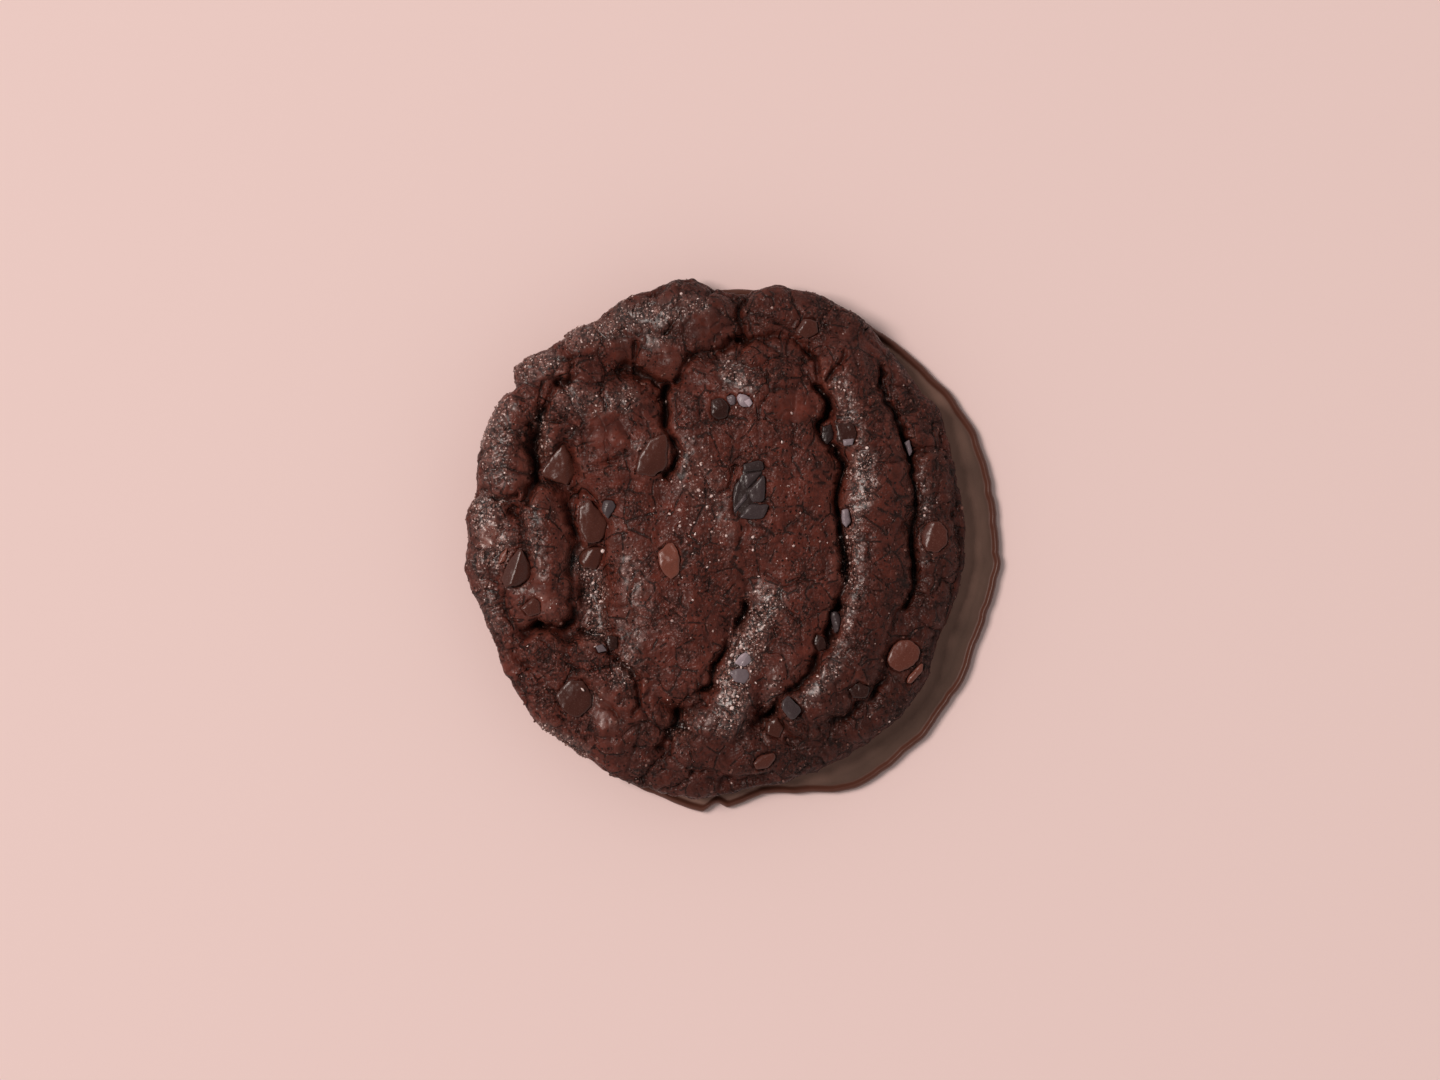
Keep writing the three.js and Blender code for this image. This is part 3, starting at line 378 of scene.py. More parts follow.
# %% Table of the chocolate pieces
CHIPS = {  # corners in order; ridge height; ridge angle and offset; fall left, fall right; tone
    "milk_chips": [
        ([(33.9, -24.6), (34.3, -22.3), (36.2, -20.2), (38.4, -19.8), (40.4, -21), (40.8, -23.2),
          (39.4, -25.2), (36.6, -26.4)], 0.75, (40, 0.4), 0.08, 0.1, 0.5),
        ([(38.0, -28.6), (38.2, -27.4), (40.9, -24.6), (41.5, -24.7), (41.2, -26.2),
          (39.0, -28.7)], 1.2, (54, 0.0), 0.45, 0.5, 0.85),
        ([(41.0, 1.6), (42.3, 3.5), (44.7, 3.7), (46.3, 1.5), (46.0, -1), (44, -2.6), (41.9, -2.2),
          (40.9, -0.5)], 0.55, (72, 0.8), 0.5, 0.1, 0.1),
        ([(-11.6, -2.5), (-8.7, -0.1), (-7.6, -1.8), (-7.1, -3.6), (-7.4, -6.6), (-8.8, -7.9),
          (-10.2, -7.1), (-11.3, -5)], 0.9, (24, 0.1), 0.20, 0.26, 0.9),
        ([(-38.9, -13.5), (-36.5, -11.4), (-34.9, -12.3), (-34.9, -14.6), (-37.3, -15.3)],
         0.9, (41, 1.1), 0.6, 0.22, 0.05),
        ([(-43.5, -4.9), (-43, -2.8), (-41.5, -1.4), (-42, -4.2)], 0.8, (62, -0.8), 0.3, 0.3, 1.0),
    ],
    "dark_chips": [
        ([(-39.1, -1.6), (-37.1, -4.4), (-36.7, -7), (-39.3, -9.3), (-42.5, -9.3), (-42.7, -7),
          (-41.2, -3.9)], 1.7, (72, 0.1), 0.62, 0.5, 0.5),
        ([(-25.3, 8.1), (-23, 5.9), (-21.7, 3.5), (-22.1, 0.9), (-24.2, -1), (-26.1, -0.4),
          (-27.4, 2.1), (-27.5, 6.7)], 1.1, (80, 0.9), 0.1, 0.12, 0.7),
        ([(-26.8, -2.3), (-24.7, -1.3), (-22.3, -1.6), (-22.7, -3.7), (-23.9, -6), (-26.4, -5.6),
          (-27.6, -4)], 1.1, (60, 0.5), 0.5, 0.3, 0.7),
        ([(-35.1, 13.3), (-32.6, 17.2), (-30.5, 19.4), (-28.7, 16.7), (-27.8, 13.5),
          (-29.6, 11), (-32.4, 11.6)], 0.95, (93, -0.9), 0.08, 0.5, 0.75),
        ([(-1.1, 25), (-0.9, 27.9), (1.2, 28.4), (2.6, 26.8), (2.2, 24.2), (0.3, 23.8)],
         0.7, (30, 0), 0.25, 0.25, 0.0),
        ([(-32, -31), (-29.5, -27.8), (-26.5, -28), (-24.6, -30.8), (-24.8, -33.6), (-27.6, -35.6),
          (-30.8, -34)], 0.8, (50, 0.4), 0.06, 0.1, 0.4),
        ([(15.8, 41.7), (17.3, 44), (20, 43.8), (20.5, 41.2), (17.8, 40.1)],
         0.9, (58, 1.1), 0.7, 0.16, 0.65),
        ([(7.3, -44.6), (8.6, -43), (11.6, -42.4), (12, -43.4), (10.2, -45.6), (8, -45.8)],
         0.9, (35, 0.6), 0.5, 0.3, 0.8),
        ([(-16, 13.4), (-15.2, 17.2), (-12.6, 20.6), (-10.2, 21.2), (-9.4, 18.4), (-9.8, 14.6),
          (-12.6, 12.4)], 0.55, (62, 0.3), 0.08, 0.2, 0.6),
        ([(9.8, -36.4), (12.2, -35.4), (13.6, -37.6), (12.6, -39.6), (10.4, -38.8)],
         0.7, (62, 1.0), 0.5, 0.15, 0.6),
        ([(26.4, -29.6), (28.4, -28.2), (30.8, -29.4), (30, -31.6), (27, -31.4)],
         0.4, (20, 0), 0.08, 0.1, 0.0),
        ([(23.8, 23.2), (27.3, 23.2), (28.2, 21.1), (27.5, 19.3), (24.3, 19.4)],
         0.3, (10, -0.8), 0.05, 0.1, 0.1),
        ([(21.7, -19.6), (20, -18.6), (19.4, -20.6), (20.4, -22.2), (22.0, -21.6)],
         0.4, (0, 0), 0.08, 0.1, 0.0),
        ([(-21.7, -18.9), (-19.6, -19.4), (-19.5, -21.6), (-21.2, -22.2), (-21.9, -20.6)],
         0.4, (70, 0), 0.05, 0.08, 0.0),
    ],
    "bloomed_chunks": [
        ([(4.1, 4.6), (3.0, 8), (4.9, 13.6), (5.6, 15.1), (9.3, 15.7), (10, 12), (10.4, 6.6), (9.4, 4.4)],
         -0.05, (80, 0), 0.05, 0.05, 0.0),
        ([(5.4, 13.4), (5.4, 15), (8.4, 15.9), (9.4, 15.6), (9.5, 13.9)], 0.7, (10, -0.5), 0.2, 0.3, 0.02),
        ([(5.5, 13.1), (9.2, 13.6), (7.8, 11.6), (6.3, 10.2), (5.7, 11)], 0.6, (50, 0), 0.1, 0.3, 0.05),
        ([(9.5, 13.1), (9.9, 11.9), (9.6, 7.7), (7, 7.5), (6.5, 9.8), (8, 11.5)],
         0.7, (80, -0.6), 0.1, 0.25, 0.055),
        ([(4.7, 12.2), (5.5, 10.4), (3.6, 6.4), (3.3, 8.4), (3.6, 10.6)], 0.6, (75, 0), 0.3, 0.2, 0.025),
        ([(5.9, 9.4), (6.2, 8.2), (3.7, 5.4), (3.5, 6.2)], 0.7, (50, 0.1), 0.4, 0.3, 0.11),
        ([(6.6, 7.1), (10.6, 7.1), (9.6, 4.4), (7.4, 4.1), (4.6, 4.4)], 0.45, (30, 0.6), 0.1, 0.12, 0.06),
        ([(-22.4, 7.8), (-20.6, 7.9), (-19.9, 6.7), (-21.5, 4.2), (-22.9, 6.2)],
         1.0, (70, 0.2), 0.45, 0.35, 0.11),
        ([(21.1, 22.6), (23, 23.2), (23.5, 20.4), (22, 18.9), (21, 20)], 0.2, (75, -0.3), 0.06, 0.1, 0.0),
        ([(37.6, 19.4), (38.6, 20), (39.2, 17.6), (38.6, 16.6)], 2.5, (95, 0.2), 0.4, 0.4, 0.45),
        ([(25.0, 6), (26.4, 6.2), (26.9, 3.6), (25.9, 2.4), (25.1, 3.4)], 2.3, (90, 0.2), 0.4, 0.4, 0.57),
        ([(22.7, -14.5), (24.1, -14.1), (24.9, -15.5), (24.5, -18.1), (23.6, -18.7)],
         1.6, (104, 0.0), 0.5, 0.3, 0.07),
        ([(14.3, -30.8), (17.1, -33.8), (16.2, -35.3), (15, -35.8), (13.1, -33.8), (13.1, -32.4)],
         2.0, (135, 0.6), 0.3, 0.2, 0.07),
        ([(3.7, -24.5), (4.6, -23), (5.9, -22.3), (6.5, -22.8), (6, -23.9), (4.6, -25)],
         0.55, (45, 0.1), 0.1, 0.25, 0.85),
        ([(5.2, -23.4), (6.7, -22.9), (7, -24.2), (5.8, -25.2), (4.4, -25.1)],
         0.4, (70, 0.2), 0.2, 0.3, 0.6),
        ([(2.7, -26.3), (4.4, -25.4), (6.3, -25.7), (6.7, -27.2), (5.8, -28.6), (3.6, -28.2)],
         0.2, (62, 0.5), 0.2, 0.2, 0.36),
        ([(25.1, 20), (27.4, 20.2), (27.2, 18.9), (25.5, 18.7)], 0.75, (10, 0), 0.2, 0.2, 0.5),
        ([(4.1, 28.3), (4.7, 29.1), (6, 28.9), (7.1, 28.1), (7.3, 27.2), (6.5, 26.4), (5.3, 26.4),
          (4.4, 27.2)], 0.45, (60, 0.2), 0.15, 0.3, 0.7),
        ([(5.5, 27.6), (6.7, 28.1), (7.3, 27.2), (6.6, 26.4)], 0.75, (110, 0), 0.3, 0.3, 1.0),
        ([(4.2, 28.2), (4.6, 29.1), (5.5, 28.9), (4.9, 27.8)], 0.7, (60, 0), 0.3, 0.3, 0.9),
        ([(2.1, 28.5), (3.3, 29), (4, 28.3), (3.9, 27), (2.9, 26.8), (2.3, 27.5)],
         0.25, (60, 0), 0.2, 0.2, 0.3),
        ([(-24, -21.2), (-22.6, -20.8), (-21.8, -22), (-23.4, -22.5)], 1.0, (155, 0.2), 0.4, 0.4, 0.3),
    ],
}
GAUGE_POWER = 10.0  # the higher, the sharper the corners
OUTLINES = [row[0] for rows in CHIPS.values() for row in rows]
print("pieces of each kind:", {name: len(rows) for name, rows in CHIPS.items()})


def corner_middle(corners):
    """Mean of the corners."""
    return np.mean(np.array(corners, dtype=float), axis=0)


def outline_share(x, y, corners):
    """0 in the middle and 1 on the edge: the power mean, over all sides, of how far a point
    lies towards that side."""
    middle = corner_middle(corners)
    points = np.array(corners, dtype=float) - middle
    following = np.roll(points, -1, axis=0)
    normals = np.stack([following[:, 1] - points[:, 1], points[:, 0] - following[:, 0]], axis=1)
    reach = (normals * points).sum(axis=1)
    total = 0.0
    for (nx, ny), distance in zip(normals, reach):
        towards = ((x - middle[0]) * nx + (y - middle[1]) * ny) / distance
        total = total + np.maximum(0.0, towards) ** GAUGE_POWER
    return total ** (1.0 / GAUGE_POWER)


# %% Sockets of the pieces
SOCKET_REACH = 2.2  # times the piece's own reach, beyond which its socket isn't worked out
SOCKET_FRAY, SOCKET_FRAY_SIZE = 0.08, 0.9
SEAT_RISE = 0.15
LEVELLED_SHARE, LEVELLED_TO = 0.75, 1.5
SOCKET_DEPTH, SOCKET_FLOOR_EDGE = 1.2, 0.76
EDGE_CREASE, CREASE_PLACE, CREASE_WIDTH = 0.45, 1.04, 0.07


def seat_height(at):
    """Height of the folded dough under the middle of a piece."""
    x, y = np.array([float(at[0])]), np.array([float(at[1])])
    return float((dome_height(x, y) + folded_height(x, y))[0])


def cut_sockets(x, y, height):
    """Levels the dough round each piece, sinks it under the piece, and cuts a thin ragged
    crease along the edge; all three depend on the gauge alone."""
    for corners in OUTLINES:
        middle = corner_middle(corners)
        span = np.abs(np.array(corners) - middle).max()
        near = np.hypot(x - middle[0], y - middle[1]) < SOCKET_REACH * span
        px, py = x[near], y[near]
        fray = SOCKET_FRAY * layered_noise(px / SOCKET_FRAY_SIZE, py / SOCKET_FRAY_SIZE, 60, 2)
        q = outline_share(px, py, corners) + fray
        local = height[near]
        level = LEVELLED_SHARE * (1.0 - smoothstep(1.0, LEVELLED_TO, q))
        local = local + (seat_height(middle) + SEAT_RISE - local) * level
        local = local - SOCKET_DEPTH * (1.0 - smoothstep(SOCKET_FLOOR_EDGE, 1.0, q))
        local = local - EDGE_CREASE * np.exp(-(((q - CREASE_PLACE) / CREASE_WIDTH) ** 2))
        height[near] = local
    return height


middle_height = seat_height((0.0, 0.0))
print(f"folded dough in the middle of the plan: {middle_height:.2f} mm high")


# %% [markdown]
# ## The dough's crust
# The crust gets its grain from four things: puffed lumps a few millimetres wide, a net of fine
# creases between them, pores where bubbles broke, and a grit about a millimetre wide. A bump
# texture could fake them all, but it would leave the rim and the lips of the cracks smooth in
# outline, so whatever is wider than a millimetre is moved for real. Some places stay smooth, where
# melted chocolate soaked through, and some are rough with undissolved sugar; these sugary bands lie
# along the slopes that face the light, and the finish paints them pale as a sheen. Both are
# masks, spots and bands on the plan with frayed edges, and the materials read them too.

# %% Smooth places, and sugary places where sheen is painted
SMOOTH_SPOTS = [  # plan place and half sizes
    ((-22, 22), (5, 4)), ((-2, 42), (3, 3.6)), ((-9.5, 37.5), (2.4, 2.8)),
    ((-18.5, 38), (2.6, 2.6)), ((-22, -34), (3, 4.6)), ((16, 26), (4, 3)), ((-34, -12), (3, 4)),
    ((-45, 1.2), (2.4, 2.8)),
]
# The sugary bands follow the slopes that face the light; the finish paints sheen and glints along them.
SUGAR_AND_SHEEN_BANDS = [  # path, half width, strength
    ([(24.6, 31), (26.4, 25), (27.2, 19.5)], 2.2, 0.6), ([(28.8, 15.5), (28.6, 8)], 2.6, 1.0),
    ([(27.4, 6), (26.9, -2), (27.2, -9)], 2.0, 0.85), ([(26.6, -9), (26.0, -16)], 1.8, 0.6),
    ([(10.6, -12.5), (8, -17), (5.4, -23)], 3.4, 1.0), ([(5, -23), (3.4, -29), (2.6, -36)], 3.2, 1.0),
    ([(-8, -38), (-4, -36)], 2.0, 0.6), ([(-26.5, -4), (-24.6, -9), (-24.2, -18)], 2.6, 0.9),
    ([(-45.6, 6.5), (-45.2, 2), (-44.2, -2.6)], 3.2, 1.0),
    ([(-42.6, 26), (-43.4, 20), (-43, 13)], 2.8, 0.75),
    ([(-47.6, -2), (-46.4, -9), (-43.5, -17)], 1.8, 0.45), ([(-40.6, -5), (-38.8, -9)], 1.8, 0.6),
    ([(-37.6, 34), (-33, 35.5)], 2.6, 0.75), ([(-28, 40), (-21, 42)], 2.8, 0.75),
    ([(-17.5, 44.5), (-9, 45)], 2.8, 0.85), ([(-13, 40.5), (-10, 39)], 1.8, 0.6),
    ([(-6, 47), (-2.6, 45.6)], 1.8, 0.6), ([(-34.6, 24), (-34.4, 17)], 1.7, 0.75),
    ([(-29, 29), (-24, 27), (-18, 28)], 2.6, 0.6), ([(-15, 19), (-12.5, 17.5)], 1.8, 0.35),
    ([(2.4, 34), (5.4, 31)], 2.6, 0.6), ([(-36.4, 5), (-35, -6)], 1.8, 0.4),
    ([(24.6, -21.5), (22.6, -26), (17.4, -31)], 1.7, 0.65), ([(-5.5, 18), (-3.6, 9)], 3.0, 0.3),
    ([(-17.5, -3), (-15.6, -12), (-17.5, -24)], 2.6, 0.35), ([(-34, -37.5), (-27, -42.5)], 1.6, 0.7),
    ([(40.5, 13), (41.6, 7)], 2.2, 0.3), ([(42.4, 0.5), (41.8, -3)], 1.8, 0.35),
    ([(-36, -11), (-33.5, -12.5)], 1.7, 0.5), ([(-1.5, 14), (1, 2)], 2.2, 0.3),
    ([(12, -26), (9.5, -38)], 1.6, 0.35), ([(-17.2, -22.5), (-19, -27.5)], 2.2, 0.55),
    ([(-23.4, -31), (-21.6, -36)], 2.2, 0.3),
]
print(len(SMOOTH_SPOTS), "smooth spots and", len(SUGAR_AND_SHEEN_BANDS), "sugary bands")


def spot_mask(x, y, spots, layer):
    """1 inside any of the elliptical spots and 0 outside, with an edge frayed by noise."""
    mask = np.zeros(x.shape)
    fray = 0.5 * layered_noise(x / 2.2, y / 2.2, layer, 3)
    for (cx, cy), (rx, ry) in spots:
        q = np.hypot((x - cx) / rx, (y - cy) / ry) + fray
        mask = np.maximum(mask, 1.0 - smoothstep(0.55, 1.25, q))
    return mask


def band_mask(x, y, bands, layer):
    """Strength of the strongest band near a point, fading out over its frayed edge."""
    mask = np.zeros(x.shape)
    fray = 0.55 * layered_noise(x / 2.0, y / 2.0, layer, 3)
    for path, half_width, strength in bands:
        q = distance_to_path(x, y, path) / half_width + fray
        mask = np.maximum(mask, strength * (1.0 - smoothstep(0.3, 1.5, q)))
    return mask


# %% Crust relief
CURL, CURL_SIZE = 1.6, 5.2  # how far the creases bend, and over what length
SWOLLEN_SIZE = 5.5
RIDGE_SIZE = (4.2, 12.0)
PLATE_SIZE, PLATE_RISE = 7.6, 0.8
PUFF_SIZE = 2.6
PORE_SPACING = 2.9
GRIT_SIZE = 1.35
CREASE_DEPTH, PORE_DEPTH = 0.25, 0.4


def pillows(x, y, size, layer, softness):
    """Puffed cells with sharp creases between: 1 - exp(-gap / softness), where the gap is the
    distance to the second nearest point less that to the nearest. Also returns the gap."""
    near, next_near = cell_distances(x / size, y / size, layer)
    gap = next_near - near
    return 1.0 - np.exp(-gap / softness), gap


def patchy(x, y, size, layer, base, strength):
    """Share from 0 to 1 that changes slowly over the plan: a base plus noise, cut at both ends."""
    return np.clip(base + strength * layered_noise(x / size, y / size, layer, 2), 0.0, 1.0)


def crust_relief(x, y, smooth_places, sugar_and_sheen_places):
    """Swells, long soft ridges, cracked plates, small puffs and grit, rougher towards the rim;
    with masks of the creases and the pores."""
    u = x + CURL * layered_noise(x / CURL_SIZE, y / CURL_SIZE, 9, 3)
    v = y + CURL * layered_noise(x / CURL_SIZE, y / CURL_SIZE, 10, 3)
    towards_rim = smoothstep(22.0, 42.0, np.hypot(x, y))
    rough = patchy(x, y, 9, 12, 0.1 + 0.5 * towards_rim, 1.1) * (1.0 - 0.9 * smooth_places)
    broken = patchy(x, y, 12, 16, 0.05 + 0.75 * towards_rim, 1.3) * (1.0 - 0.8 * smooth_places)
    swollen = layered_noise(x / SWOLLEN_SIZE, y / SWOLLEN_SIZE, 5, 2, 0.5, puffs=True) - 0.4
    ridges = layered_noise((u - 0.12 * v) / RIDGE_SIZE[0], v / RIDGE_SIZE[1], 33, 2, 0.35)
    plates, plate_gap = pillows(u, v, PLATE_SIZE, 3, 0.12)
    puffs, puff_gap = pillows(u, v, PUFF_SIZE, 4, 0.2)
    grit = layered_noise(x / GRIT_SIZE, y / GRIT_SIZE, 130, 2, 0.5)
    height = (0.35 + 0.35 * towards_rim) * swollen + 0.3 * (1.0 - towards_rim) * ridges
    height = height + PLATE_RISE * broken * (plates - 0.85)
    height = height + (0.18 + 0.16 * towards_rim) * rough * (puffs - 0.75)
    height = height + (0.05 + 0.18 * sugar_and_sheen_places) * (1.0 - 0.8 * smooth_places) * grit
    creases = np.exp(-((plate_gap / 0.045) ** 2)) * broken
    creases = np.maximum(creases, 0.5 * np.exp(-((puff_gap / 0.1) ** 2)) * rough)
    bubble, _ = cell_distances(x / PORE_SPACING, y / PORE_SPACING, 31)
    pores = np.exp(-((bubble / 0.12) ** 2)) * (0.2 + 0.6 * rough)
    return height - CREASE_DEPTH * creases - PORE_DEPTH * pores, creases, pores


# %% [markdown]
# ## The section of the dough
# One curve describes the side: a superellipse down to the waist, then a quarter ellipse that
# tucks in to the foot. It is walked in even steps, and its normals say which way the relief
# pushes: up on the top, mostly outwards and much weaker on the side.

# %% Section of the dough
RINGS = 157


def dough_section(rings, steps=4000):
    """Radius, height, outward normal and length walked, in even steps from middle to foot."""
    phi = np.linspace(0.0, math.pi / 2, steps)
    power = 2.0 / SIDE_SQUARENESS
    radius = DOUGH_RADIUS * np.sin(phi) ** power
    height = DOUGH_WAIST + (DOUGH_CROWN - DOUGH_WAIST) * np.cos(phi) ** power
    tucked = DOUGH_RADIUS - FOOT_TUCK * (1.0 - np.cos(phi[1:]))
    lower = DOUGH_WAIST - (DOUGH_WAIST - DOUGH_FOOT) * np.sin(phi[1:])
    radius, height = np.append(radius, tucked), np.append(height, lower)
    walked = np.append(0.0, np.cumsum(np.hypot(np.diff(radius), np.diff(height))))
    even = np.linspace(0.0, walked[-1], rings + 1)
    radius, height = np.interp(even, walked, radius), np.interp(even, walked, height)
    slope_r, slope_z = np.gradient(radius), np.gradient(height)
    length = np.hypot(slope_r, slope_z)
    return radius, height, -slope_z / length, slope_r / length, even


section_r, section_z, normal_r, normal_z, section_walked = dough_section(RINGS)
print(f"step along the dough's surface: {section_walked[1]:.3f} mm")


# %% [markdown]
# ## The skin of the dough
# A disc could be covered by spokes and rings, but then the middle would be crowded and the rim
# bare. Here the rings of a square grid are bent into circles instead, so that cells stay nearly
# even and each can carry the same fine relief. Every point starts on the section and moves along
# its normal. How far a point lies below its neighbours, from a blurred copy of the heights, is
# kept as a mask: the finish paints shade into the hollows with it and pales the crests.

# %% A square grid laid over a disc
def disc_grid(rings):
    """Square rings of a grid become circles: ring is the larger of |a| and |b|, and the angle
    runs evenly round each ring. Returns ring, angle in degrees and faces of four corners."""
    side = np.arange(-rings, rings + 1)
    a, b = (axis.astype(float) for axis in np.meshgrid(side, side))
    ring = np.maximum(np.abs(a), np.abs(b)).astype(int)
    wide = np.abs(a) >= np.abs(b)
    slope = np.divide(np.where(wide, b, a), np.where(wide, a, b), where=ring > 0, out=np.zeros(a.shape))
    angle = np.where(wide, np.where(a > 0, 0, 180) + 45 * slope, np.where(b > 0, 90, 270) - 45 * slope)
    count = 2 * rings + 1
    corner = (np.arange(count - 1)[:, None] * count + np.arange(count - 1)[None]).ravel()
    quads = np.stack([corner, corner + 1, corner + count + 1, corner + count], axis=1)
    turned = (a[:-1, :-1] + 0.5) * (b[:-1, :-1] + 0.5) < 0
    quads = np.where(turned.ravel()[:, None], np.roll(quads, -1, axis=1), quads)
    return ring, angle % 360.0, quads


def box_blur(grid, half_width):
    """Mean over a square of the grid, worked out from running sums along both axes."""
    for axis in (0, 1):
        widths = [(0, 0), (0, 0)]
        widths[axis] = (half_width + 1, half_width)
        sums = np.cumsum(np.pad(grid, widths, mode="edge"), axis=axis)
        upper = np.take(sums, np.arange(2 * half_width + 1, sums.shape[axis]), axis=axis)
        lower = np.take(sums, np.arange(0, sums.shape[axis] - 2 * half_width - 1), axis=axis)
        grid = (upper - lower) / (2 * half_width + 1)
    return grid


# %% Depth, and the painted shade of the side away from the light
BLUR_CELLS = 5
FULL_DEPTH = 1.7
SHADE_WAY = (0.8, -0.6)  # towards the side away from the light, where shade is painted
RING_CENTRE, RING_LEFT_END = (8.0, -2.0), -20.0


def depth_mask(level):
    """How far a place lies below the mean of its surroundings: 1 is FULL_DEPTH, a rise is negative."""
    return np.clip((box_blur(level, BLUR_CELLS) - level) / FULL_DEPTH, -1.0, 1.0)


def painted_side_shade(x, y):
    """Painted shade on the rim to the right and below, away from the light, and less on a wider ring that
    leaves out the left.
    """
    along = SHADE_WAY[0] * x + SHADE_WAY[1] * y
    rim = smoothstep(-5.0, 45.0, along) * smoothstep(22.0, 44.0, np.hypot(x, y))
    ring = smoothstep(34.0, 47.0, np.hypot(x - RING_CENTRE[0], y - RING_CENTRE[1]))
    ring = ring * (x > RING_LEFT_END)
    return np.maximum(rim, 0.6 * ring)


# %% Shape the dough
SIDE_SHARE = 0.35
SIDE_LEVEL = -1.2
SIDE_CRUST = 0.3
FOOT_FADE = 1.5
RAGGED, RAGGED_SIZE = 0.7, 4.2


def dough_relief(ring, x, y, fine_x, fine_y, crust):
    """How far points move along the normal: by folds, crust and sockets on the top; on the side
    by a share of the folds and the crust, with a ragged noise added."""
    dome, folded = dome_height(x, y), folded_height(x, y)
    on_top = np.clip(normal_z[ring], 0.0, 1.0)
    topped = cut_sockets(x, y, dome + folded + crust) - dome
    ragged = RAGGED * layered_noise(fine_x / RAGGED_SIZE, fine_y / RAGGED_SIZE, 120, 3, 0.6)
    sideways = (folded - SIDE_LEVEL) * SIDE_SHARE + crust * SIDE_CRUST + ragged
    return on_top * topped + (1.0 - on_top) * sideways


def shape_dough():
    """Every grid point starts on the section, scaled to the outline, and moves along the normal
    by the relief; near the foot it moves only sideways, so that the foot stays flat."""
    ring, angle, quads = disc_grid(RINGS)
    turn = np.radians(angle)
    scale = outline_radius(angle, DOUGH_RADIUS, DOUGH_BUMPS) / DOUGH_RADIUS
    plain = section_r[ring] * scale
    x, y = plain * np.cos(turn), plain * np.sin(turn)
    walked = section_walked[ring] * scale
    fine_x, fine_y = walked * np.cos(turn), walked * np.sin(turn)
    smooth_places = spot_mask(x, y, SMOOTH_SPOTS, 70)
    sugar_and_sheen_places = band_mask(x, y, SUGAR_AND_SHEEN_BANDS, 80)
    crust, creases, pores = crust_relief(fine_x, fine_y, smooth_places, sugar_and_sheen_places)
    moved = dough_relief(ring, x, y, fine_x, fine_y, crust)
    fade = smoothstep(DOUGH_FOOT, DOUGH_FOOT + FOOT_FADE, section_z[ring])
    out = plain + normal_r[ring] * moved
    up = np.maximum(section_z[ring] + normal_z[ring] * moved * fade, DOUGH_FOOT)
    up = np.where(ring == RINGS, DOUGH_FOOT, up)
    points = np.stack([out * np.cos(turn), out * np.sin(turn), up], axis=-1)
    masks = {
        "shade_depth": depth_mask(section_z[ring] + moved), "side_shade": painted_side_shade(x, y),
        "smooth": smooth_places, "sugar_and_sheen": sugar_and_sheen_places, "pores": pores, "creases": creases,
    }
    return points, quads, masks, ring


dough_points, dough_quads, dough_masks, dough_ring = shape_dough()
print("dough heights, mm:", dough_points[..., 2].min(), "to", round(dough_points[..., 2].max(), 2))


# %% Close the underside and write the dough
def close_foot(points, ring, angle_of):
    """Fan of triangles from the outermost ring to one point in the middle of the foot."""
    border = np.flatnonzero(ring.ravel() == RINGS)
    border = border[np.argsort(angle_of[border])]
    middle = len(points)
    following = np.roll(border, -1)
    fan = np.stack([following, border, np.full(len(border), middle)], axis=1)
    return np.vstack([points, [0.0, 0.0, DOUGH_FOOT]]), fan


flat_points = dough_points.reshape(-1, 3)
border_angles = plan_angle(flat_points[:, 0], flat_points[:, 1])
closed_points, foot_fan = close_foot(flat_points, dough_ring, border_angles)
dough = add_piece(
    "baked_dough",
    closed_points,
    dough_quads.tolist() + foot_fan.tolist(),
    {name: np.append(values.ravel(), 0.0) for name, values in dough_masks.items()},
)
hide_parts("cookie_dough")

# %% [markdown]
# ## Chips and chunks
# Drops melt into low lumps, and chunks keep the straight breaks of the bar. A flattened ball
# would do for the first but not for the second, so one recipe with corners serves both. A piece
# is worked out over two parameters, the angle round its middle and the share of the way from the
# middle to the edge. The gauge of the corners turns the two into a place on the plan, the ridge
# gives the height there, and the edge is rounded down into a skirt that is buried in the socket.
# Knocks and low waves keep the faces from looking machined.

# %% Shape of a piece
PIECE_DEPTH = 2.0
ROUND_STEPS, ACROSS_STEPS = 72, 20
EDGE_ROUNDING = 0.22
RIDGE_ROUNDING = 0.32
OUTLINE_WOBBLE, WOBBLE_SIZE = 0.08, 1.1
LOW_WAVES, WAVE_SIZE = 0.10, 2.1
KNOCKS, KNOCK_SIZE = 0.05, 0.7
INNERMOST_TURN, TOP_CROWDING = 0.04, 1.4  # the rings of the top crowd towards the edge
SKIRT_SHARE = np.array([0.8, 0.97, 1.0])[:, None]  # the three buried rings, lowest first
SKIRT_DROP = np.array([-PIECE_DEPTH, -0.6 * PIECE_DEPTH, -0.15])[:, None]
LOWEST_TOP = -0.5


def roof_height(x, y, ridge, fall_left, fall_right):
    """Two faces falling from a rounded ridge line, at an angle and an offset from the middle."""
    angle, offset = math.radians(ridge[0]), ridge[1]
    away = -x * math.sin(angle) + y * math.cos(angle) - offset
    left = 0.5 * (away + np.sqrt(away * away + RIDGE_ROUNDING**2))
    return -fall_left * left - fall_right * (left - away)


def edge_reach(corners, turn):
    """Distance from the middle to the edge in each direction: one over the gauge a millimetre
    out, because the gauge grows evenly outwards, and wobbled by a noise."""
    middle = corner_middle(corners)
    reach = 1.0 / outline_share(middle[0] + np.cos(turn), middle[1] + np.sin(turn), corners)
    x, y = middle[0] + reach * np.cos(turn), middle[1] + reach * np.sin(turn)
    return reach * (1.0 + OUTLINE_WOBBLE * layered_noise(x / WOBBLE_SIZE, y / WOBBLE_SIZE, 140, 2))


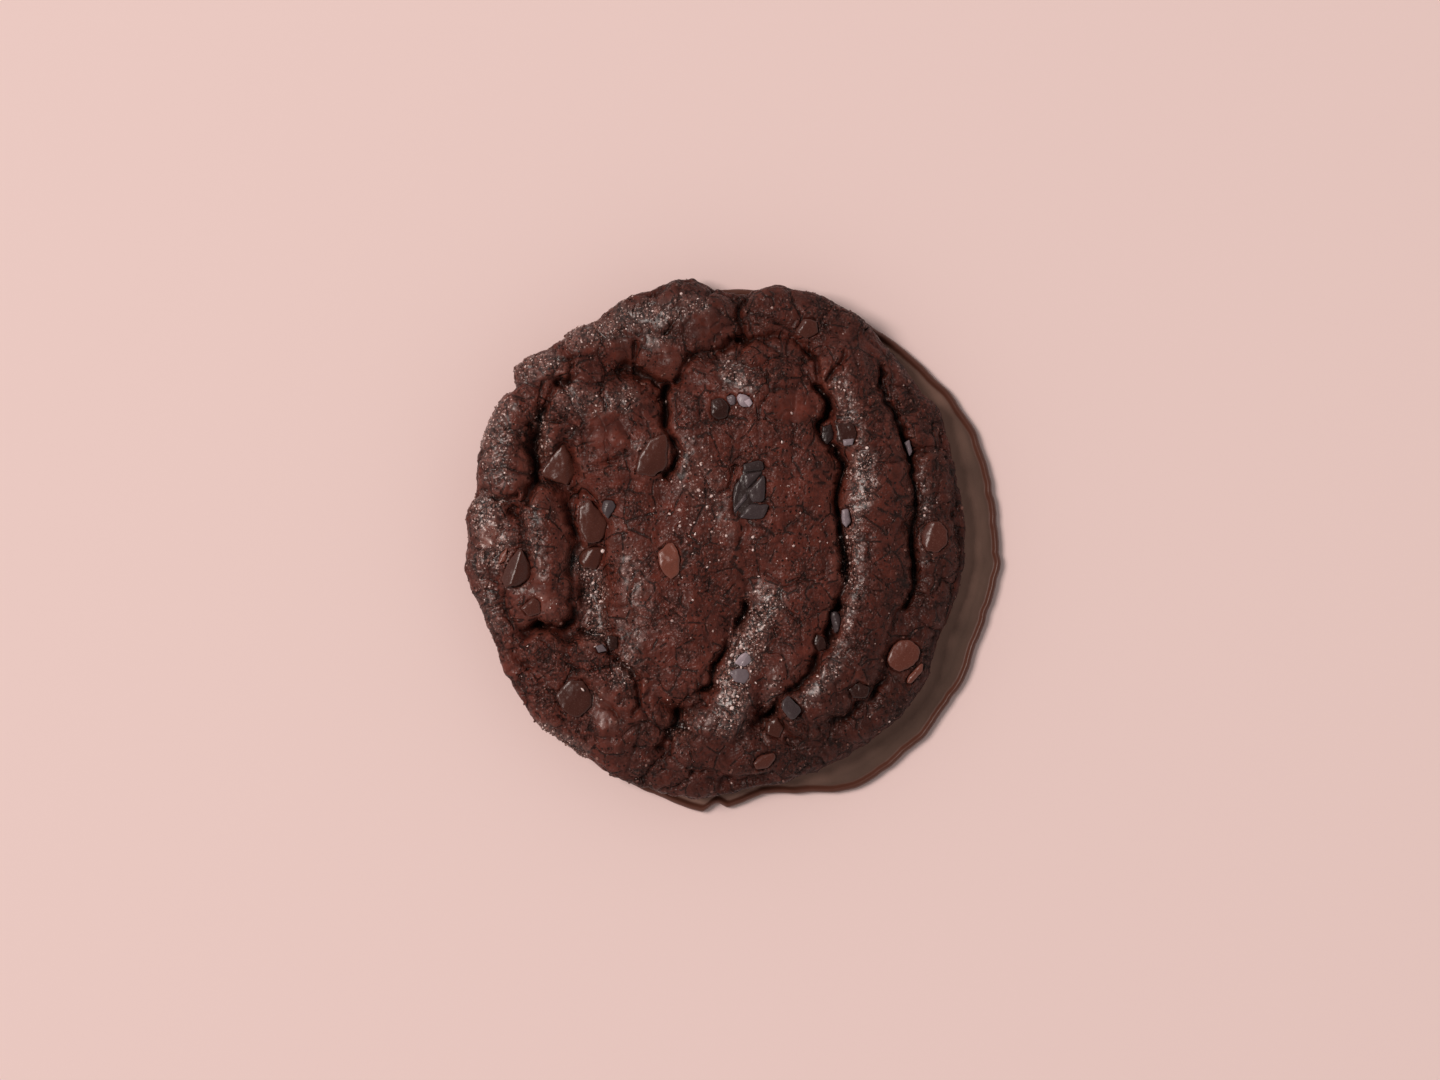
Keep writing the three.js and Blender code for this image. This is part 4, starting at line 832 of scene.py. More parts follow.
def chip_shape(corners, proud, ridge, fall_left, fall_right):
    """Rings from the buried foot up over the edge to the middle of the top: each point is its
    share of the way out times the edge's reach, and the ridge gives its height."""
    middle = corner_middle(corners)
    turn = np.linspace(0.0, 2 * math.pi, ROUND_STEPS, endpoint=False)[None]
    reach = edge_reach(corners, turn)
    even = np.linspace(math.pi / 2, INNERMOST_TURN, ACROSS_STEPS)[:, None]
    share = np.vstack([SKIRT_SHARE, np.sin(even) ** TOP_CROWDING])
    x, y = share * reach * np.cos(turn), share * reach * np.sin(turn)
    inwards = (1.0 - share) * reach
    rounding = EDGE_ROUNDING * np.exp(-inwards / EDGE_ROUNDING)
    wave_x, wave_y = x + middle[0], y + middle[1]
    uneven = LOW_WAVES * layered_noise(wave_x / WAVE_SIZE, wave_y / WAVE_SIZE, 110, 2)
    knocks = KNOCKS * layered_noise(wave_x / KNOCK_SIZE, wave_y / KNOCK_SIZE, 113, 2)
    height = proud + roof_height(x, y, ridge, fall_left, fall_right) - rounding + uneven + knocks
    height = np.maximum(height, LOWEST_TOP)
    buried = len(SKIRT_DROP)
    height[:buried] = np.minimum(height[:buried], 0.0) + SKIRT_DROP
    rings = np.stack([x + middle[0], y + middle[1], height + seat_height(middle)], axis=-1)
    foot = [*middle, seat_height(middle) - PIECE_DEPTH - 0.5]
    return with_poles(rings, foot, rings[-1].mean(axis=0))


def closed_rings(rows, columns):
    """Faces of a tube of rings whose first and last rows are closed by single poles."""
    ring = np.arange(columns)
    after = np.roll(ring, -1)
    quads = [
        np.stack([row + ring, row + after, row + columns + after, row + columns + ring], axis=1)
        for row in 1 + columns * np.arange(rows - 1)
    ]
    last = 1 + rows * columns
    foot = np.stack([np.zeros(columns, dtype=int), 1 + after, 1 + ring], axis=1)
    top = np.stack([last - columns + ring, last - columns + after, np.full(columns, last)], axis=1)
    return np.vstack(quads).tolist() + foot.tolist() + top.tolist()


def with_poles(rings, foot, top):
    """Rings of points as one list with a pole before and a pole after."""
    return np.vstack([[foot], rings.reshape(-1, 3), [top]])


# %% Make the pieces of each kind
def make_chips(name):
    """All pieces of one kind as one mesh, each with its tone."""
    shapes = [chip_shape(*row[:-1]) for row in CHIPS[name]]
    count = len(shapes[0])
    faces = closed_rings(len(SKIRT_DROP) + ACROSS_STEPS, ROUND_STEPS)
    joined = [[corner + count * k for corner in face] for k in range(len(shapes)) for face in faces]
    tones = np.repeat([row[-1] for row in CHIPS[name]], count)
    piece = add_piece(name, np.vstack(shapes), joined, {"tone": tones})
    return piece


milk_chips = make_chips("milk_chips")
dark_chips = make_chips("dark_chips")
bloomed_chunks = make_chips("bloomed_chunks")

# %% [markdown]
# ## Crumbs and sugar
# Loose crumbs cling to the crust, and sugar that never dissolved glints in it: single crystals
# over the middle, fine frost in the sugary places, and a few large grains given one by one. A
# particle system could scatter them. A seeded draw weighted by the masks does it in a few lines
# and gives the same grains in the same places every time. One small lump of twenty faces is
# copied by arrays: turned, stretched and moved, it never looks the same twice.

# %% Scattered lumps
def lump():
    """Twelve corners and twenty faces of an icosahedron of radius one."""
    g = (1 + math.sqrt(5)) / 2
    corners = [(-1, g, 0), (1, g, 0), (-1, -g, 0), (1, -g, 0), (0, -1, g), (0, 1, g),
               (0, -1, -g), (0, 1, -g), (g, 0, -1), (g, 0, 1), (-g, 0, -1), (-g, 0, 1)]
    faces = [(0, 11, 5), (0, 5, 1), (0, 1, 7), (0, 7, 10), (0, 10, 11), (1, 5, 9), (5, 11, 4),
             (11, 10, 2), (10, 7, 6), (7, 1, 8), (3, 9, 4), (3, 4, 2), (3, 2, 6), (3, 6, 8),
             (3, 8, 9), (4, 9, 5), (2, 4, 11), (6, 2, 10), (8, 6, 7), (9, 8, 1)]
    return np.array(corners) / math.hypot(1, g), np.array(faces)


def random_turns(count, random):
    """Turning matrices from random unit quaternions."""
    w, x, y, z = random.normal(size=(4, count))
    length = np.sqrt(w * w + x * x + y * y + z * z)
    w, x, y, z = w / length, x / length, y / length, z / length
    rows = [1 - 2 * (y * y + z * z), 2 * (x * y - z * w), 2 * (x * z + y * w),
            2 * (x * y + z * w), 1 - 2 * (x * x + z * z), 2 * (y * z - x * w),
            2 * (x * z - y * w), 2 * (y * z + x * w), 1 - 2 * (x * x + y * y)]
    return np.stack(rows, axis=-1).reshape(count, 3, 3)


def scatter_lumps(name, places, sizes, tones, random):
    """A turned and stretched lump of its own size at every place, as one mesh."""
    corners, faces = lump()
    stretch = random.uniform(0.4, 1.4, (len(places), 1, 3))
    shapes = corners[None] * stretch * sizes[:, None, None]
    shapes = np.einsum("nij,nkj->nki", random_turns(len(places), random), shapes)
    points = (shapes + places[:, None]).reshape(-1, 3)
    offsets = np.arange(len(places))[:, None, None] * len(corners)
    joined = (faces[None] + offsets).reshape(-1, 3).tolist()
    return add_piece(name, points, joined, {"tone": np.repeat(tones, len(corners))}, smooth=False)


def surface_draw(count, weight, random):
    """Random points of the dough's own surface, likelier where the weight is larger."""
    chance = weight.ravel() / weight.sum()
    chosen = random.choice(weight.size, size=count, replace=False, p=chance)
    return flat_points[chosen], chosen


# %% Crumbs
CRUMB_COUNT = 2600
CRUMB_SMALLEST, CRUMB_SPREAD = 0.12, 0.25
LOWEST_CRUMB = DOUGH_WAIST - 1.5
CLEAR_OF_PIECES = 1.15  # by the gauge of a piece, whose edge is at 1

on_upper_side = (section_z[dough_ring] > LOWEST_CRUMB).astype(float)
under_pieces = np.zeros(dough_ring.shape)
for corners in OUTLINES:
    share = outline_share(dough_points[..., 0], dough_points[..., 1], corners)
    under_pieces = np.maximum(under_pieces, (share < CLEAR_OF_PIECES).astype(float))
bare = on_upper_side * (1.0 - under_pieces)

random = np.random.default_rng(21)
crumb_weight = bare * (0.15 + dough_masks["sugar_and_sheen"]) * (1.0 - 0.9 * dough_masks["smooth"])
crumb_places, _ = surface_draw(CRUMB_COUNT, crumb_weight, random)
crumb_sizes = CRUMB_SMALLEST + CRUMB_SPREAD * random.random(len(crumb_places)) ** 2.5
crumbs = scatter_lumps("crumbs", crumb_places, crumb_sizes, random.random(len(crumb_places)), random)

# %% Sugar
LARGE_CRYSTALS = [  # plan place and size
    (30.0, 18.3, 0.35), (-26.6, -29.8, 0.4), (7.6, 28.6, 0.3), (4.0, 26.4, 0.25),
    (6.9, -26.1, 0.22), (3.4, -27.9, 0.2), (7.9, -28.4, 0.25), (5.0, -25.3, 0.25), (2.6, -26.4, 0.3),
    (4.2, -21.4, 0.35), (3.2, -22.9, 0.4), (5.6, -21.6, 0.3), (2.7, -24.3, 0.35), (4.9, -20.2, 0.3),
    (3.2, -33.4, 0.4), (2.3, -31.8, 0.3), (4.3, -31.1, 0.35), (3.6, -32.3, 0.25), (1.9, -30.2, 0.3),
    (-22.6, -2.2, 0.35), (-24.6, -8.6, 0.4), (-23.9, -10.4, 0.45), (-25.3, -12.3, 0.35),
]
CRYSTAL_COUNT, FROST_COUNT = 95, 2600
CRYSTAL_SMALLEST, CRYSTAL_SPREAD = 0.14, 0.22
FROST_SMALLEST, FROST_SPREAD = 0.08, 0.24
LARGE_CRYSTAL_LIFT = 0.35
WIDE_SUGAR, DENSE_SUGAR = ((3.0, 0.0), 20.0), ((-1.5, 4.0), 8.5)  # plan place and spread


def bell(centre, spread):
    """Bell curve round a plan place, for every point of the dough's skin."""
    away = np.hypot(dough_points[..., 0] - centre[0], dough_points[..., 1] - centre[1]) / spread
    return np.exp(-(away**2))


random = np.random.default_rng(22)
centre_weight = 0.25 * bell(*WIDE_SUGAR) + bell(*DENSE_SUGAR)
crystals, _ = surface_draw(CRYSTAL_COUNT, bare * (0.01 + centre_weight), random)
frosted, _ = surface_draw(FROST_COUNT, bare * (0.003 + dough_masks["sugar_and_sheen"] ** 2), random)
large = np.array([[x, y, seat_height((x, y)) + LARGE_CRYSTAL_LIFT] for x, y, _ in LARGE_CRYSTALS])
sugar_places = np.vstack([crystals, frosted, large])
sugar_sizes = np.concatenate([
    CRYSTAL_SMALLEST + CRYSTAL_SPREAD * random.random(len(crystals)) ** 2,
    FROST_SMALLEST + FROST_SPREAD * random.random(len(frosted)) ** 3,
    [size for _, _, size in LARGE_CRYSTALS],
])
sugar_tones = random.random(len(sugar_places)) ** 1.8
sugar_tones[:len(crystals)] = 0.4 + 0.6 * sugar_tones[:len(crystals)]
sugar_tones[-len(large):] = 1.2
sugar = scatter_lumps("sugar_grains", sugar_places, sugar_sizes, sugar_tones, random)

# %% [markdown]
# ## The set chocolate base
# Melted chocolate was spread under the cookie and set as a thin disc. It shows as a crescent on
# the right, with a rounded bead along its free edge. A bevelled cylinder would have the same edge
# all round. So the section of the disc, a short list of heights, is walked round the outline, and
# the bead rises only where the disc is clear of the dough.

# %% Shape the base
BASE_THICKNESS = 1.8
LIP_RISE = 0.55
LIP_WIDTH = 1.9
LIP_START = (0.6, 1.6)
EDGE_WAVE = 0.35
RIPPLE, FINE_RIPPLE = 0.10, 0.03
BASE_ROUND_STEPS = 720
EDGE_STEPS, FLAT_STEPS = 40, 34


def base_section():
    """Distance in from the edge, height and share of the bead, from the underside's rim round
    the bulged edge to where the flat top begins."""
    inset = [1.3, 0.7, 0.3, 0.08, 0.0, 0.05, 0.2, 0.4, 0.65, 0.9, 1.2, 1.5, LIP_WIDTH]
    height = [0.0, 0.07, 0.3, 0.62, 0.95, 1.28, 1.55, 1.72, 1.8, 1.8, 1.8, 1.76, 1.8]
    bead = [0.0, 0.0, 0.0, 0.05, 0.2, 0.4, 0.7, 0.92, 1.0, 0.9, 0.45, 0.05, 0.0]
    knots = np.linspace(0, 1, len(inset))
    even = np.linspace(0, 1, EDGE_STEPS)
    smoothing = np.array([0.25, 0.5, 0.25])
    rows = []
    for values in (inset, height, bead):
        fine = np.interp(even, knots, values)
        for _ in range(3):
            fine[1:-1] = np.convolve(fine, smoothing, mode="valid")
        rows.append(fine)
    return rows


def showing_width(angle):
    """How far the disc reaches beyond the dough, in a direction seen from the disc's middle."""
    edge = outline_radius(angle, BASE_RADIUS, BASE_BUMPS)
    x = BASE_CENTRE[0] + edge * np.cos(np.radians(angle))
    y = BASE_CENTRE[1] + edge * np.sin(np.radians(angle))
    return np.hypot(x, y) - outline_radius(plan_angle(x, y), DOUGH_RADIUS, DOUGH_BUMPS)


def shape_base():
    """The section carried round the outline, then rings that close the flat top."""
    angle = np.linspace(0.0, 360.0, BASE_ROUND_STEPS, endpoint=False)[None]
    inset, height, bead = (row[:, None] for row in base_section())
    edge = outline_radius(angle, BASE_RADIUS, BASE_BUMPS)
    edge = edge + EDGE_WAVE * layered_noise(angle / 4.5, np.zeros_like(angle), 96, 2)
    raised = LIP_RISE * bead * smoothstep(*LIP_START, showing_width(angle))
    inner = 1.0 - np.linspace(0.0, 1.0, FLAT_STEPS + 1)[1:-1, None]
    flat_radius = (edge - LIP_WIDTH) * inner
    radius = np.vstack([edge - inset, flat_radius])
    z = np.vstack([height + raised, np.full(flat_radius.shape, BASE_THICKNESS)])
    x = BASE_CENTRE[0] + radius * np.cos(np.radians(angle))
    y = BASE_CENTRE[1] + radius * np.sin(np.radians(angle))
    ripples = RIPPLE * layered_noise(x / 9, y / 9, 90, 2)
    ripples = ripples + FINE_RIPPLE * layered_noise(x / 2.4, y / 2.4, 93, 2)
    beyond = np.hypot(x, y) - outline_radius(plan_angle(x, y), DOUGH_RADIUS, DOUGH_BUMPS)
    z = z + np.where(beyond > -FOOT_TUCK, ripples * smoothstep(0.9, 1.8, z), 0.0)
    rings = np.stack([x, y, z], axis=-1)
    middle = [*BASE_CENTRE, 0.0], [*BASE_CENTRE, BASE_THICKNESS]
    # Painted light: the colour is paled close to the dough, kept as the tone mask, to cancel the shade the
    # dough casts on the base.
    painted_light_near_dough = 1.0 - smoothstep(-0.5, 4.5, beyond)
    from_edge = np.vstack([inset, edge.mean() - flat_radius.mean(axis=1, keepdims=True)])
    lip = smoothstep(2.0, 1.2, np.broadcast_to(from_edge, x.shape))
    masks = {"tone": np.pad(painted_light_near_dough.ravel(), 1), "lip": np.pad(lip.ravel(), 1)}
    return with_poles(rings, *middle), closed_rings(len(rings), BASE_ROUND_STEPS), masks


base_points, base_faces, base_masks = shape_base()
base = add_piece("chocolate_disc", base_points, base_faces, base_masks)
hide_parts("chocolate_base")

# %% [markdown]
# ## Finishes
# A picture could be wrapped over the cookie, but it would bring its own light and shadows along.
# Instead each finish is a Principled shader whose colour, roughness and bump come from noise at
# the scale of the real grain. Colours are given as read on a screen, from 0 to 255, and turned
# into the linear values that light needs. What two finishes share is a node group with named
# sockets, so that each finish can set its own values.

# %% Helpers for finishes
def screen_colour(red, green, blue):
    """Linear colour of a screen colour: ((c + 0.055) / 1.055) ^ 2.4 for all but the darkest."""
    share = np.array([red, green, blue]) / 255.0
    linear = np.where(share <= 0.04045, share / 12.92, ((share + 0.055) / 1.055) ** 2.4)
    return (*linear.tolist(), 1.0)


def add_node(tree, kind, inputs=None, **settings):
    """New node of a kind; inputs are values for or links to its sockets."""
    node = tree.nodes.new(kind)
    for name, value in settings.items():
        setattr(node, name, value)
    for name, value in (inputs or {}).items():
        if isinstance(value, bpy.types.NodeSocket):
            tree.links.new(value, node.inputs[name])
        else:
            node.inputs[name].default_value = value
    return node


def ramp(tree, value, low, high, result_low=0.0, result_high=1.0):
    """Map Range from low..high to the two results, held at the ends."""
    limits = {"From Min": low, "From Max": high, "To Min": result_low, "To Max": result_high}
    return add_node(tree, "ShaderNodeMapRange", {"Value": value, **limits}).outputs["Result"]


def maths(tree, operation, first, second):
    """Result of one operation on two values or sockets."""
    return add_node(tree, "ShaderNodeMath", {0: first, 1: second}, operation=operation).outputs[0]


def times(tree, first, second):
    """Product of two values or sockets."""
    return maths(tree, "MULTIPLY", first, second)


def blend_colours(tree, factor, first, second):
    """First colour where the factor is 0, second where it is 1."""
    inputs = {0: factor, 6: first, 7: second}
    return add_node(tree, "ShaderNodeMix", inputs, data_type="RGBA").outputs[2]


def blend_vectors(tree, factor, first, second):
    """First vector where the factor is 0, second where it is 1."""
    inputs = {0: factor, 4: first, 5: second}
    return add_node(tree, "ShaderNodeMix", inputs, data_type="VECTOR").outputs[1]


def new_finish(name):
    """Material with an empty tree, a Principled shader and its output."""
    material = bpy.data.materials.new(name)
    material.use_nodes = True
    tree = material.node_tree
    tree.nodes.clear()
    shader = add_node(tree, "ShaderNodeBsdfPrincipled")
    add_node(tree, "ShaderNodeOutputMaterial", {0: shader.outputs[0]})
    return material, tree, shader


def bump_surface(tree, shader, height, distance, strength=1.0):
    """Tilts the shader's normal by a height; the distance in metres is a height of one."""
    inputs = {"Height": height, "Strength": strength, "Distance": distance}
    tree.links.new(add_node(tree, "ShaderNodeBump", inputs).outputs[0], shader.inputs["Normal"])


def millimetres(tree):
    """Object coordinates counted in millimetres."""
    place = add_node(tree, "ShaderNodeTexCoord").outputs["Object"]
    scale = (1 / MM, 1 / MM, 1 / MM)
    return add_node(tree, "ShaderNodeMapping", {"Vector": place, "Scale": scale}).outputs["Vector"]


def mask_of(tree, name):
    """A named mask of the mesh."""
    return add_node(tree, "ShaderNodeAttribute", attribute_name=name).outputs["Fac"]


# %% [markdown]
# ## Grain that finishes share
# Dough and crumbs have the same grain, and all the chocolate has the same wavy, dusty skin, so
# each is built once as a node group. A group hands out heights and masks, and every finish
# decides what to do with them. Places are counted in millimetres, so a scale of 2 means two
# lumps to the millimetre.

# %% Helpers for groups
def new_group(name, inputs, outputs):
    """Empty node group with named inputs of a kind each and named number outputs."""
    tree = bpy.data.node_groups.new(name, "ShaderNodeTree")
    for socket, kind in inputs.items():
        tree.interface.new_socket(socket, in_out="INPUT", socket_type=kind)
    for socket in outputs:
        tree.interface.new_socket(socket, in_out="OUTPUT", socket_type="NodeSocketFloat")
    return tree, tree.nodes.new("NodeGroupInput"), tree.nodes.new("NodeGroupOutput")


def noise_texture(tree, place, scale, detail=2.0, roughness=0.5):
    """Noise texture's outputs at a scale of lumps per millimetre."""
    inputs = {"Vector": place, "Scale": scale, "Detail": detail, "Roughness": roughness}
    return add_node(tree, "ShaderNodeTexNoise", inputs).outputs


def noise(tree, place, scale, detail=2.0, roughness=0.5):
    """Noise texture's value."""
    return noise_texture(tree, place, scale, detail, roughness)["Fac"]


def cells(tree, place, scale, feature="F1"):
    """Cell texture's outputs: the distance and each cell's own random colour."""
    inputs = {"Vector": place, "Scale": scale}
    return add_node(tree, "ShaderNodeTexVoronoi", inputs, feature=feature).outputs


def drawn_number(tree, cell_outputs, channel):
    """One random number from 0 to 1 for each cell."""
    return add_node(tree, "ShaderNodeSeparateColor", {"Color": cell_outputs["Color"]}).outputs[channel]


def hairlines(tree, place, scale, width, low, high):
    """Mask of the thin lines between cells, kept only where a noise is above a limit."""
    distance = cells(tree, place, scale, "DISTANCE_TO_EDGE")["Distance"]
    line = ramp(tree, distance, 0.2 * width, width, 1.0, 0.0)
    return times(tree, line, ramp(tree, noise(tree, place, 0.6, 1.0), low - 0.08, high))


def use_group(tree, group, inputs):
    """Outputs of a placed group, with links or values for its inputs."""
    return add_node(tree, "ShaderNodeGroup", inputs, node_tree=group).outputs


# %% Grain of baked dough
def bent_place(tree, place):
    """The place shifted by a slow coloured noise, so that lines drawn on it wander."""
    drift = noise_texture(tree, place, 0.8)["Color"]
    shifted = add_node(tree, "ShaderNodeVectorMath", {0: place, 1: drift}, operation="ADD").outputs[0]
    return blend_vectors(tree, 0.45, place, shifted)


def hairlines_and_pits(tree, bent, rough):
    """Mask of a wide net of hairlines, a finer net where it is rough, and scattered pits."""
    wide_net = hairlines(tree, bent, 0.2, 0.055, 0.49, 0.55)
    fine_net = hairlines(tree, bent, 0.42, 0.08, 0.52, 0.58)
    net = maths(tree, "MAXIMUM", wide_net, times(tree, fine_net, rough))
    pits = cells(tree, bent, 1.1)
    hollow = ramp(tree, pits["Distance"], 0.18, 0.28, 1.0, 0.0)
    hollow = times(tree, hollow, ramp(tree, drawn_number(tree, pits, 1), 0.53, 0.57))
    return maths(tree, "MAXIMUM", net, hollow)


def crumb_grain_group():
    """Grain of baked dough in millimetres of height, with masks of its mottle, of the hairline
    cracks and pits, of the palest grains, and of the gaps between grains."""
    inputs = {"Place": "NodeSocketVector", "Rough": "NodeSocketFloat"}
    tree, start, end = new_group("crumb grain", inputs, ("Height", "Mottle", "Pits", "Specks", "Gaps"))
    spot, rough = start.outputs["Place"], start.outputs["Rough"]
    bent = bent_place(tree, spot)
    dark = hairlines_and_pits(tree, bent, rough)
    crinkled = ramp(tree, noise(tree, spot, 0.1, 2.0), 0.4, 0.6, 0.35, 1.0)
    crinkles = times(tree, noise(tree, bent, 0.42, 3.0, 0.55), crinkled)
    grains = cells(tree, spot, 1.7)
    domed = times(tree, times(tree, maths(tree, "POWER", grains["Distance"], 2.0), 0.3), rough)
    height = times(tree, noise(tree, spot, 0.55, 2.0, 0.5), 0.06)
    height = maths(tree, "ADD", height, times(tree, noise(tree, spot, 1.7, 1.0, 0.5), 0.07))
    height = maths(tree, "ADD", height, times(tree, crinkles, 0.55))
    height = maths(tree, "SUBTRACT", height, times(tree, dark, 0.2))
    height = maths(tree, "SUBTRACT", height, domed)
    tops = ramp(tree, grains["Distance"], 0.16, 0.36, 1.0, 0.0)
    specks = times(tree, tops, ramp(tree, drawn_number(tree, grains, 0), 0.45, 0.7))
    results = {
        "Height": height, "Mottle": noise(tree, spot, 0.35, 4.0, 0.6), "Pits": dark,
        "Specks": specks, "Gaps": ramp(tree, grains["Distance"], 0.42, 0.7),
    }
    for name, value in results.items():
        tree.links.new(value, end.inputs[name])
    return tree


# %% Skin of set chocolate
def set_chocolate_group():
    """Surface of set chocolate: a low wavy height, a cloudy mottle and a dusting of bloom."""
    inputs = {"Place": "NodeSocketVector"}
    tree, start, end = new_group("set chocolate", inputs, ("Height", "Mottle", "Dust"))
    spot = start.outputs["Place"]
    scuffs = noise(tree, spot, 3.0, 3.0, 0.6)
    height = maths(tree, "ADD", noise(tree, spot, 0.5, 2.0, 0.5), times(tree, scuffs, 0.18))
    tree.links.new(height, end.inputs["Height"])
    tree.links.new(noise(tree, spot, 0.22, 3.0, 0.55), end.inputs["Mottle"])
    tree.links.new(ramp(tree, scuffs, 0.55, 0.72), end.inputs["Dust"])
    return tree


crumb_grain = crumb_grain_group()
set_chocolate = set_chocolate_group()
print("shared grain:", [group.name for group in (crumb_grain, set_chocolate)])

# %% [markdown]
# ## Baked dough
# The crust is a dark reddish brown, paler on crests, and nearly black down in the cracks, pores
# and gaps between grains, which is painted shade. Sugary places, along the slopes that face the
# light, are greyer and full of pale grains, a painted sheen and painted glints, and a thin clear
# coat gives them the soft glow of melted sugar. The rim on the right and below is painted darker
# as shade. Smooth places show less grain. The masks made with the shape say where each of these
# is, so the colour is laid in three goes: the brown skin, the painted sheen on it, and last the
# painted shade that cuts through both.

# %% Colours of the dough
DOUGH_BROWN = screen_colour(95, 43, 33)
DOUGH_DARK = screen_colour(65, 25, 17)
DOUGH_CREST = screen_colour(110, 59, 48)
# Black of the painted shade in cracks, pores, gaps and hollows; also the dark of random dapples and mottle
SHADE_AND_MOTTLE_BLACK = screen_colour(24, 7, 3)
# Dull frost painted as sheen on the sugary slopes, and pale specks on the crumbs
SHEEN_AND_SPECK_DULL = screen_colour(142, 98, 88)
# Pale grains painted as glints in the sugary places
PAINTED_GLINT_PALE = screen_colour(246, 220, 212)
DOUGH_MASKS = ("shade_depth", "smooth", "sugar_and_sheen", "pores", "creases", "side_shade")


def brown_skin(tree, place, grain, masks, rough):
    """Two browns mixed by the mottle, dark dapples where it is rough, paler crests."""
    colour = blend_colours(tree, ramp(tree, grain["Mottle"], 0.35, 0.65), DOUGH_DARK, DOUGH_BROWN)
    dapples = ramp(tree, noise(tree, place, 1.2, 2.0, 0.65), 0.48, 0.58, 0.0, 0.7)
    colour = blend_colours(tree, times(tree, dapples, rough), colour, SHADE_AND_MOTTLE_BLACK)
    crests = times(tree, ramp(tree, masks["shade_depth"], 0.0, -0.5), 0.4)
    return blend_colours(tree, crests, colour, DOUGH_CREST)


def painted_sheen_skin(tree, place, grain, masks, bare, colour):
    """Painted sheen: a patchy dull frost over the sugary places, and clusters of single pale grains as
    painted glints.
    """
    sheen_frost = ramp(tree, noise(tree, place, 0.9, 2.0, 0.6), 0.38, 0.6, 0.1, 0.6)
    colour = blend_colours(tree, times(tree, masks["sugar_and_sheen"], sheen_frost), colour, SHEEN_AND_SPECK_DULL)
    clusters = ramp(tree, noise(tree, place, 0.55, 2.0, 0.6), 0.44, 0.58, 0.08, 1.0)
    clusters = times(tree, clusters, ramp(tree, masks["sugar_and_sheen"], 0.0, 0.8, 0.04, 1.0))
    pale = times(tree, times(tree, grain["Specks"], clusters), bare)
    return blend_colours(tree, pale, colour, PAINTED_GLINT_PALE)


def painted_shade_skin(tree, grain, masks, patches, bare, colour):
    """Painted shade: black over the gaps between grains, the depths, creases, pits and pores, and over the
    side away from the light.
    """
    open_grain = maths(tree, "MAXIMUM", times(tree, patches, 0.6), times(tree, masks["sugar_and_sheen"], 0.9))
    gap_shade = times(tree, times(tree, grain["Gaps"], open_grain), bare)
    hollow_shade = ramp(tree, masks["shade_depth"], 0.2, 0.9, 0.0, 0.9)
    creases = times(tree, masks["creases"], ramp(tree, grain["Mottle"], 0.35, 0.6, 0.6, 1.0))
    pits = times(tree, grain["Pits"], ramp(tree, masks["smooth"], 0.0, 1.0, 1.0, 0.4))
    holes = times(tree, maths(tree, "MAXIMUM", pits, masks["pores"]), 0.9)
    for dark in (gap_shade, hollow_shade, creases, holes, times(tree, masks["side_shade"], 0.5)):
        colour = blend_colours(tree, dark, colour, SHADE_AND_MOTTLE_BLACK)
    return colour


# %% Finish of the dough
DOUGH_SPECULAR = 0.2
GLAZE_ROUGHNESS = 0.29


def finish_dough():
    """Rough patches come from a slow noise and from sugar; smooth places take the grain away."""
    material, tree, shader = new_finish("baked dough")
    place = millimetres(tree)
    masks = {name: mask_of(tree, name) for name in DOUGH_MASKS}
    bare = maths(tree, "SUBTRACT", 1.0, masks["smooth"])
    patches = ramp(tree, noise(tree, place, 0.13, 3.0, 0.6), 0.45, 0.62)
    rough = maths(tree, "MAXIMUM", ramp(tree, patches, 0.0, 1.0, 0.25, 0.8), masks["sugar_and_sheen"])
    rough = times(tree, bare, rough)
    grain = use_group(tree, crumb_grain, {"Place": place, "Rough": rough})
    colour = brown_skin(tree, place, grain, masks, rough)
    colour = painted_sheen_skin(tree, place, grain, masks, bare, colour)
    colour = painted_shade_skin(tree, grain, masks, patches, bare, colour)
    tree.links.new(colour, shader.inputs["Base Color"])
    matte = ramp(tree, grain["Mottle"], 0.35, 0.65, 0.4, 0.28)
    matte = maths(tree, "ADD", matte, times(tree, grain["Gaps"], 0.3))
    matte = maths(tree, "SUBTRACT", matte, times(tree, masks["sugar_and_sheen"], 0.15))
    tree.links.new(matte, shader.inputs["Roughness"])
    shader.inputs["Specular IOR Level"].default_value = DOUGH_SPECULAR
    glazed = ramp(tree, noise(tree, place, 0.45, 3.0, 0.6), 0.36, 0.6, 0.25, 1.0)
    tree.links.new(times(tree, masks["sugar_and_sheen"], glazed), shader.inputs["Coat Weight"])
    shader.inputs["Coat Roughness"].default_value = GLAZE_ROUGHNESS
    height = times(tree, grain["Height"], ramp(tree, masks["smooth"], 0.0, 1.0, 1.0, 0.5))
    bump_surface(tree, shader, height, MM)
    return material


dough.data.materials.append(finish_dough())
print("finish of the dough reads the masks", DOUGH_MASKS)

# %% [markdown]
# ## Crumbs and sugar grains
# A crumb is the same dough as the crust, so it wears the same grain, drier and without cracks in
# it. A sugar grain is pale and glossy, and some are browned by the dough that melted round them.
# The tone kept with each lump picks its own place between two colours.

# %% Finish of crumbs and sugar
CRUMB_PALE = screen_colour(104, 66, 56)
SUGAR_BROWNED = screen_colour(128, 90, 80)
SUGAR_CLEAR = screen_colour(236, 214, 208)


